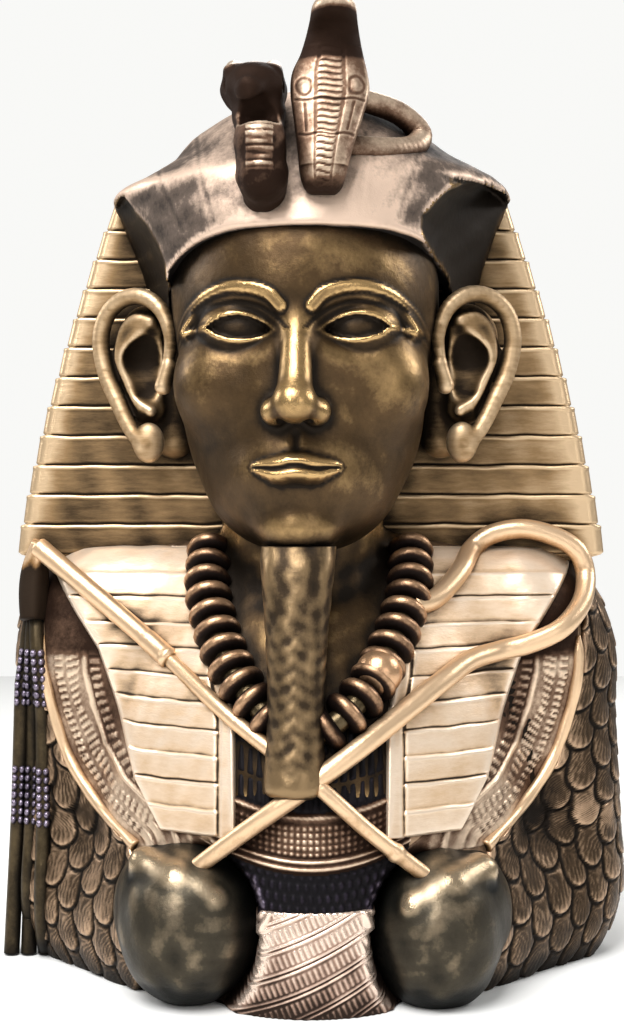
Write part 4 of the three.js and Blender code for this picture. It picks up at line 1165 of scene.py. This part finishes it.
def beads_on(name, line, spacing, hole, thickness, flatness, material):
    """Ring-shaped beads threaded on a line, made by geometry nodes and realized into one mesh."""
    curve = bpy.data.curves.new(name, "CURVE")
    curve.dimensions = "3D"
    spline = curve.splines.new("POLY")
    spline.points.add(len(line) - 1)
    spline.points.foreach_set("co", np.insert(line * SQUARE, 3, 1, axis=1).ravel())
    thread = placed(name + "_thread", curve)
    tree = bpy.data.node_groups.new(name, "GeometryNodeTree")
    face = tree.interface
    face.new_socket("Geometry", in_out="INPUT", socket_type="NodeSocketGeometry")
    sockets = {
        label: face.new_socket(label, in_out="INPUT", socket_type="NodeSocketFloat").identifier
        for label in ("Spacing", "Ring Radius", "Bead Thickness")
    }
    face.new_socket("Geometry", in_out="OUTPUT", socket_type="NodeSocketGeometry")
    given = add(tree, "NodeGroupInput").outputs
    spaced = {"Curve": given["Geometry"], "Length": given["Spacing"]}
    places = add(tree, "GeometryNodeCurveToPoints", spaced, mode="LENGTH").outputs
    hoop = add(tree, "GeometryNodeCurvePrimitiveCircle", {"Resolution": 20, "Radius": given["Ring Radius"]})
    half = add(tree, "ShaderNodeMath", {0: given["Bead Thickness"], 1: 0.5}, operation="MULTIPLY")
    section = add(tree, "GeometryNodeCurvePrimitiveCircle", {"Resolution": 12, "Radius": half.outputs[0]})
    swept = {"Curve": hoop.outputs["Curve"], "Profile Curve": section.outputs["Curve"]}
    bead = add(tree, "GeometryNodeCurveToMesh", swept).outputs["Mesh"]
    lens = add(tree, "GeometryNodeTransform", {"Geometry": bead, "Scale": (1, 1, flatness)})
    lens = lens.outputs["Geometry"]
    on_thread = {"Points": places["Points"], "Instance": lens, "Rotation": places["Rotation"]}
    threaded = add(tree, "GeometryNodeInstanceOnPoints", on_thread).outputs["Instances"]
    real = add(tree, "GeometryNodeRealizeInstances", {"Geometry": threaded}).outputs["Geometry"]
    finish = add(tree, "GeometryNodeSetMaterial", {"Geometry": real, "Material": material})
    add(tree, "NodeGroupOutput", {"Geometry": finish.outputs["Geometry"]})
    modifier = thread.modifiers.new(name, "NODES")
    modifier.node_group = tree
    modifier[sockets["Spacing"]] = metres(spacing)
    modifier[sockets["Ring Radius"]] = metres(hole + thickness / 2)
    modifier[sockets["Bead Thickness"]] = metres(thickness)
    bpy.context.view_layer.update()
    mesh = bpy.data.meshes.new_from_object(thread.evaluated_get(bpy.context.evaluated_depsgraph_get()))
    mesh.name = name
    bpy.data.objects.remove(thread)
    mesh.shade_smooth()
    count = len(mesh.vertices)
    points = np.empty(count * 3, np.float32)
    mesh.vertices.foreach_get("co", points)
    points = points.reshape(-1, 3)
    nearest = np.full(count, 1e9)
    for centre in curve_through(line * SQUARE, 400)[0]:
        nearest = np.minimum(nearest, np.linalg.norm(points - centre, axis=1))
    outer = metres(hole + thickness)
    wear_and_shade = np.clip((nearest / outer - 0.86) * 9, -1.5, 1.0) - 0.45
    paint(mesh, wear_and_shade)
    keep(placed(name, mesh))


def ball(radii, columns, rows, pole):
    """Rings of a ball about its upright axis, but for a small angle at each pole."""
    turns = whole_turn(columns)
    tilts = np.linspace(pole, np.pi - pole, rows)[:, None]
    rings = [np.sin(tilts) * np.cos(turns), np.sin(tilts) * np.sin(turns), np.cos(tilts) + 0 * turns]
    return np.stack(rings, -1) * radii


def necklace():
    line, length = curve_through(necklace_line(), 140)
    beads_on("necklace_beads", line, length / 25, 1.4, 11.4, 0.78, red_brown)
    rings = line[96] + (0, -2.5, 0) + ball(12, 40, 24, 0.1)
    dress_rings("necklace_round_bead", rings, red_brown, stain=-0.4)
    dress_rings("necklace_cord", tube(line, lambda share, turn: 6 + 0 * share, 12), slate_dark)


STRANDS = {
    "strand_outer": (-155, -160, -162, -166),
    "strand_middle": (-153, -154, -154, -156.5),
    "strand_inner": (-151, -148, -146, -147),
}
BEAD_PITCH = 4.6
BEAD_ROWS = [top - BEAD_PITCH * row for top in (168, 103) for row in range(7)]


def strands():
    """The flail's three strands, each with two clusters of beads."""
    small_bead = ball((2.1, 3.2, 2.4), 14, 8, 0.12)
    for name, places in STRANDS.items():
        heights = np.linspace(188, 1, 190)
        x = np.interp(heights, [0, 80, 150, 186], places[::-1])
        line = on_chest(np.stack([x, heights], 1), -0.6, -9)
        cord = tube(line, lambda share, turn: 4.0 + 0.35 * ripple(turn, np.pi), 18)
        dress_rings(name, cord, slate_dark, stain=-1.1)
        points, quads, triangles = [], [], []
        for z in BEAD_ROWS:
            centre = [np.interp(z, heights[::-1], line[::-1, axis]) for axis in range(3)]
            for aside in (-1.9, 1.9):
                offset = sum(map(len, points))
                body = facing_out(*capped(small_bead + centre + (aside, -2.2, 0)))
                points.append(body[0])
                quads.append(body[1] + offset)
                triangles += [tuple(corner + offset for corner in face) for face in body[2]]
        points, quads = np.concatenate(points), np.concatenate(quads)
        dress(name + "_beads", points, quads, lilac_bead, triangles, stain=-0.7)


def hems():
    """The raised cord round each sleeve and the lower edge of the collar."""
    for side in (-1, 1):
        line = front(torso, [side * x for x, _ in HEM[1:]], [z for _, z in HEM[1:]])
        line[:, 1] -= 0.8
        path, _ = curve_through(line, 200)
        start = 0.24 if side < 0 else 0.08

        def radius(share, turn):
            return 3.2 * smooth(-0.05, start, share) + 0.15 * np.sin(40 * share)

        dress_rings(sided("hem", side), tube(path, radius, 16), bright_staff, stain=-0.35)


def fist(name):
    """A heavy round fist, whose thumb shuts over the end of a rod; the fingers barely part."""
    side, x, middle, girth = FISTS[name]
    palm = ellipsoid((x, -88, middle), (girth, 39, 41))
    heel = ellipsoid((x + side * 14, -74, middle + 6), (26, 30, 33))
    ridge = ((22, -92, 30), (6, -108, 25), (-12, -114, 17))
    thumb = chain(3, [(x + side * out, y, middle + up) for out, y, up in ridge], [9, 8, 6.5])
    form = carve(1, blend(4, palm, heel, thumb), cut_off(2, -1, 0))
    points, quads = skin_of(form, (x - 46, -134, -3), (x + 46, -40, middle + 46), FIST_PITCH)
    points[:, 2] = np.maximum(points[:, 2], 0)
    across, y, z = side * (points[:, 0] - x), points[:, 1], points[:, 2]
    grooves = sum(dent(z - middle - height - 0.12 * across, 2.0) for height in (4, -9, -22))
    grooves = grooves * smooth(6, -8, across) * smooth(-92, -104, y)
    lift = 0.45 * wobble(points, 15, 71) * smooth(0, 3, z) - 0.12 * grooves
    points = points + normals_of(points, quads) * lift[:, None]
    stain = -0.4 + 0.6 * smooth(3, -1, thumb(points))
    dress(name, points, quads, green_black, stain=stain, reach=0.5)


# The straight beard, which hangs from the chin and rests on the chest.
BEARD = [(228, 19, 13, 86), (214, 18.4, 13, 92), (185, 15.6, 13, 98), (150, 14, 13, 105)]
BEARD += [(128, 14.4, 13.5, 110), (114, 15.4, 14, 113), (108, 14.6, 13.4, 113), (105.5, 10, 9, 113)]


def beard():
    path, _ = curve_through(BEARD, 150)
    turns = whole_turn(60)
    rings = []
    for z, half, deep, forward in path:
        knots = ripple(z + 4.5 * np.abs(np.sin(2 * turns)), 7.5)
        plait = 0.25 * knots * span(z, 118, 124, 170, 206)
        plait = plait + 0.3 * np.cos(7 * turns) * smooth(190, 215, z)
        x = (half + plait) * np.sin(turns)
        y = -forward - (deep + plait) * np.cos(turns)
        rings.append(np.stack([x, y, 0 * turns + z], 1))
    rings = np.float32(rings)
    points, quads, triangles = facing_out(*capped(rings))
    points = points + normals_of(points, quads) * (0.3 * wobble(points, 9, 51))[:, None]
    # The knob at the foot is painted lighter, as a painted highlight.
    stain = 0.6 * smooth(124, 114, points[:, 2]) - 0.45
    dress("beard", turned(points), quads, flaky_brown, triangles, stain=stain, reach=0.65)


# Vulture and cobra on the brow.
def vulture():
    """A bare curved neck with a ringed throat, and a head thrust forward over it."""
    neck_line = [(-23, -94, 404), (-24, -111, 411), (-25, -111, 427), (-26, -98, 444), (-27, -82, 456)]
    neck_form = chain(6, neck_line, [11, 11.5, 11.5, 12, 13])
    brow_form = ellipsoid((-28, -102, 457), (14.5, 14, 11))
    skull_form = blend(6, ellipsoid((-29, -86, 459), (17, 20, 13)), brow_form)
    beak = chain(3, [(-29, -106, 456), (-30, -116, 451), (-30, -118, 444)], [9, 6.5, 3.0])
    ridges = [bone((x, -84, 470), 4.5, (x + lean, -102, 464), 3.4) for x, lean in ((-39, -1), (-19, 1))]
    eyes = both_sides(lambda side: ellipsoid((-29 + side * 15, -100, 458), (3.4, 4, 3.4)))
    throat_hollow = ellipsoid((-26, -114, 441), (12, 8, 9))
    form = carve(2, blend(4, neck_form, skull_form, beak, *ridges), *eyes, throat_hollow)
    points, quads = skin_of(form, (-50, -128, 380), (-8, -52, 480), VULTURE_PITCH)
    normals = normals_of(points, quads)
    x, y, z = points.T
    across = np.abs(x + 25)
    strip = smooth(7.0, 6.2, across) * smooth(0.1, 0.5, -normals[:, 1])
    strip = strip * span(z, 410, 413, 440, 443)
    rungs = dent(np.mod(z + 0.3 * wobble(points, 9, 62), 3.6) - 1.8, 0.5)
    points = points + normals * ((0.5 - 0.5 * rungs) * strip + 0.2 * wobble(points, 6, 61))[:, None]
    # The head's front is dark from wash and from painted shade under the head.
    stain = -1.9 * span(z, 440, 445, 464, 470) * smooth(-76, -88, y)
    stain -= 0.5 * strip + 0.8 * (1 - strip) * smooth(446, 440, z) + 0.4 * smooth(416, 408, z)
    dress("vulture", points, quads, brow_brown, stain=stain, reach=0.65)


COBRA = [(403, 6, 6, 99, 6), (406, 9.5, 9, 104, 6), (412, 11.5, 11, 107, 6), (425, 13.8, 10, 107, 7)]
COBRA += [(441, 17.2, 9, 102, 8.5), (455, 19.8, 9, 96, 9.5), (466, 19, 9, 91, 9.5), (476, 16, 10, 87, 10.5)]
COBRA += [(484, 14, 11, 87, 11), (488, 13, 13, 89, 11.2), (492, 12, 16, 93, 11.4), (498, 11, 17, 95, 11.6)]
COBRA += [(502, 8.5, 13, 92, 11.8), (503.6, 4, 7, 91, 12)]


def cobra_relief(u, z):
    """Fine lines cut in the hood: a ladder of belly scales between panels with a round mark each."""
    x = u * 19
    across = np.abs(x)
    z = z + 0.5 * np.sin(0.4 * x)
    tall = span(z, 406, 409, 477, 481)
    rungs = -0.5 * dent(np.mod(z, 3.5) - 1.75, 0.5) * smooth(6.2, 5.4, across) * tall
    rails = -0.5 * dent(across - 6.8, 0.6) * tall
    panel = span(across, 7.8, 8.6, 16.6, 17.4)
    mark = np.hypot(across - 12.4, (z - 457) * 0.8)
    marks = (0.35 * dent(mark, 1.6) - 0.4 * dent(mark - 3.8, 0.7)) * panel
    posts = -0.4 * dent(across - 12.4, 0.6) * panel * span(z, 431, 433, 447, 449)
    bars = -0.5 * sum(dent(z - height, 0.6) for height in (430.5, 449.5)) * smooth(18.5, 17.5, across)
    edge = 0.5 * dent(across - 18.2, 0.9) * smooth(424, 432, z)
    return rungs + rails + marks + posts + bars + edge


def cobra():
    path, _ = curve_through(COBRA, 170)
    turns = whole_turn(112)
    rings = []
    for z, half, deep, forward, aside in path:
        flat = 0.75 if 415 < z < 480 else 1.0
        x = half * np.sin(turns)
        y = -deep * np.sign(np.cos(turns)) * np.abs(np.cos(turns)) ** flat
        lift = cobra_relief(np.sin(turns), np.full(len(turns), z)) * smooth(0.1, 0.5, np.cos(turns))
        rings.append(np.stack([aside + x, -forward + y - lift, 0 * turns + z], 1))
    points, quads, triangles = facing_out(*capped(np.float32(rings)))
    x, y, z = points.T
    # Painted shade under the raised head, on the front of the throat.
    shade_under_head = span(z, 471, 476, 492, 496) * smooth(-78, -86, y)
    face = span(z, 424, 430, 470, 476) * smooth(-88, -94, y)
    stain = -0.15 * face - 1.5 * shade_under_head - 0.1 * smooth(431, 424, z) - 0.6 * smooth(412, 405, z)
    dress("cobra", points, quads, brow_brown, triangles, stain=stain, reach=0.6)
    tail = [(12, -76, 458), (28, -68, 458), (46, -62, 453), (57, -60, 443), (52, -68, 434)]
    tail += [(36, -80, 430), (14, -88, 430)]
    path, length = curve_through(tail, 220)

    def radius(share, turn):
        return 5.6 + 1.0 * share + 0.12 * ripple(share * length + 1.3 * turn, 3.4)

    dress_rings("cobra_tail", tube(path, radius, 26, (0.1, 0.3, 1)), brow_brown, stain=-1.2)


body_core()
throat()
broad_collar()
waist_panel()
for side in (-1, 1):
    sleeve(side)
    hem_panel(side)
    lappet(side)
    ear(side)
head()
hood()
drape()
queue()
beard()
crook()
flail_rod()
strands()
necklace()
hems()
for name in FISTS:
    fist(name)
vulture()
cobra()


# Studio: a pale floor, a large soft key from the upper left in front, a weak fill and side lights.
FLOOR_HALF = 1.5
AIR_LIGHT = 0.42
AIR_SEEN = 1.5
EXPOSURE = -0.3
AIM = (0, 0, 0.27)


def studio():
    world = bpy.data.worlds.new("studio_air")
    world.use_nodes = True
    bpy.context.scene.world = world
    # The air looks pale behind the figure but lights it little, as a cleared background does.
    seen = add(world.node_tree, "ShaderNodeLightPath").outputs["Is Camera Ray"]
    air = world.node_tree.nodes["Background"]
    air.inputs["Color"].default_value = linear("#e4e4e2")
    strengths = {"Value": seen, "To Min": AIR_LIGHT, "To Max": AIR_SEEN}
    strength = add(world.node_tree, "ShaderNodeMapRange", strengths)
    world.node_tree.links.new(strength.outputs["Result"], air.inputs["Strength"])
    mesh = bpy.data.meshes.new("studio_floor")
    corners = [(x * FLOOR_HALF, y * FLOOR_HALF, 0) for x, y in ((-1, -1), (1, -1), (1, 1), (-1, 1))]
    mesh.from_pydata(corners, [], [(0, 1, 2, 3)])
    paper = bpy.data.materials.new("matt_paper")
    paper.use_nodes = True
    paper.node_tree.nodes["Principled BSDF"].inputs["Base Color"].default_value = linear("#f2f2f0")
    paper.node_tree.nodes["Principled BSDF"].inputs["Roughness"].default_value = 0.9
    mesh.materials.append(paper)
    placed("studio_floor", mesh)
    # Name, place and size in metres, and power in watts.
    lamps = [
        ("key", (-0.45, -1.05, 1.75), 1.1, 62),
        ("spark", (-0.7, -1.5, 0.85), 0.22, 5),
        ("fill", (0.9, -1.5, 0.6), 0.7, 4),
        ("rim_right", (1.2, 0.2, 0.9), 0.5, 8),
        ("rim_left", (-1.2, 0.3, 0.8), 0.5, 6),
        ("back", (0.3, 1.4, 1.3), 0.9, 14),
    ]
    for name, place, size, power in lamps:
        light = bpy.data.lights.new(name, "AREA")
        light.size = size
        light.energy = power
        lamp = placed(name, light)
        lamp.location = place
        lamp.rotation_euler = (Vector(AIM) - Vector(place)).to_track_quat("-Z", "Y").to_euler()


def camera():
    data = bpy.data.cameras.new("camera")
    data.sensor_fit = "VERTICAL"
    data.sensor_height = VIEW_FILM
    data.lens = VIEW_LENS
    data.clip_start = 0.02
    viewer = placed("camera", data)
    viewer.location = [metres(value) for value in VIEW_PLACE]
    viewer.rotation_euler = (math.pi / 2, 0, 0)
    bpy.context.scene.camera = viewer


camera()
studio()
bpy.context.scene.view_settings.view_transform = "Standard"
bpy.context.scene.view_settings.exposure = EXPOSURE
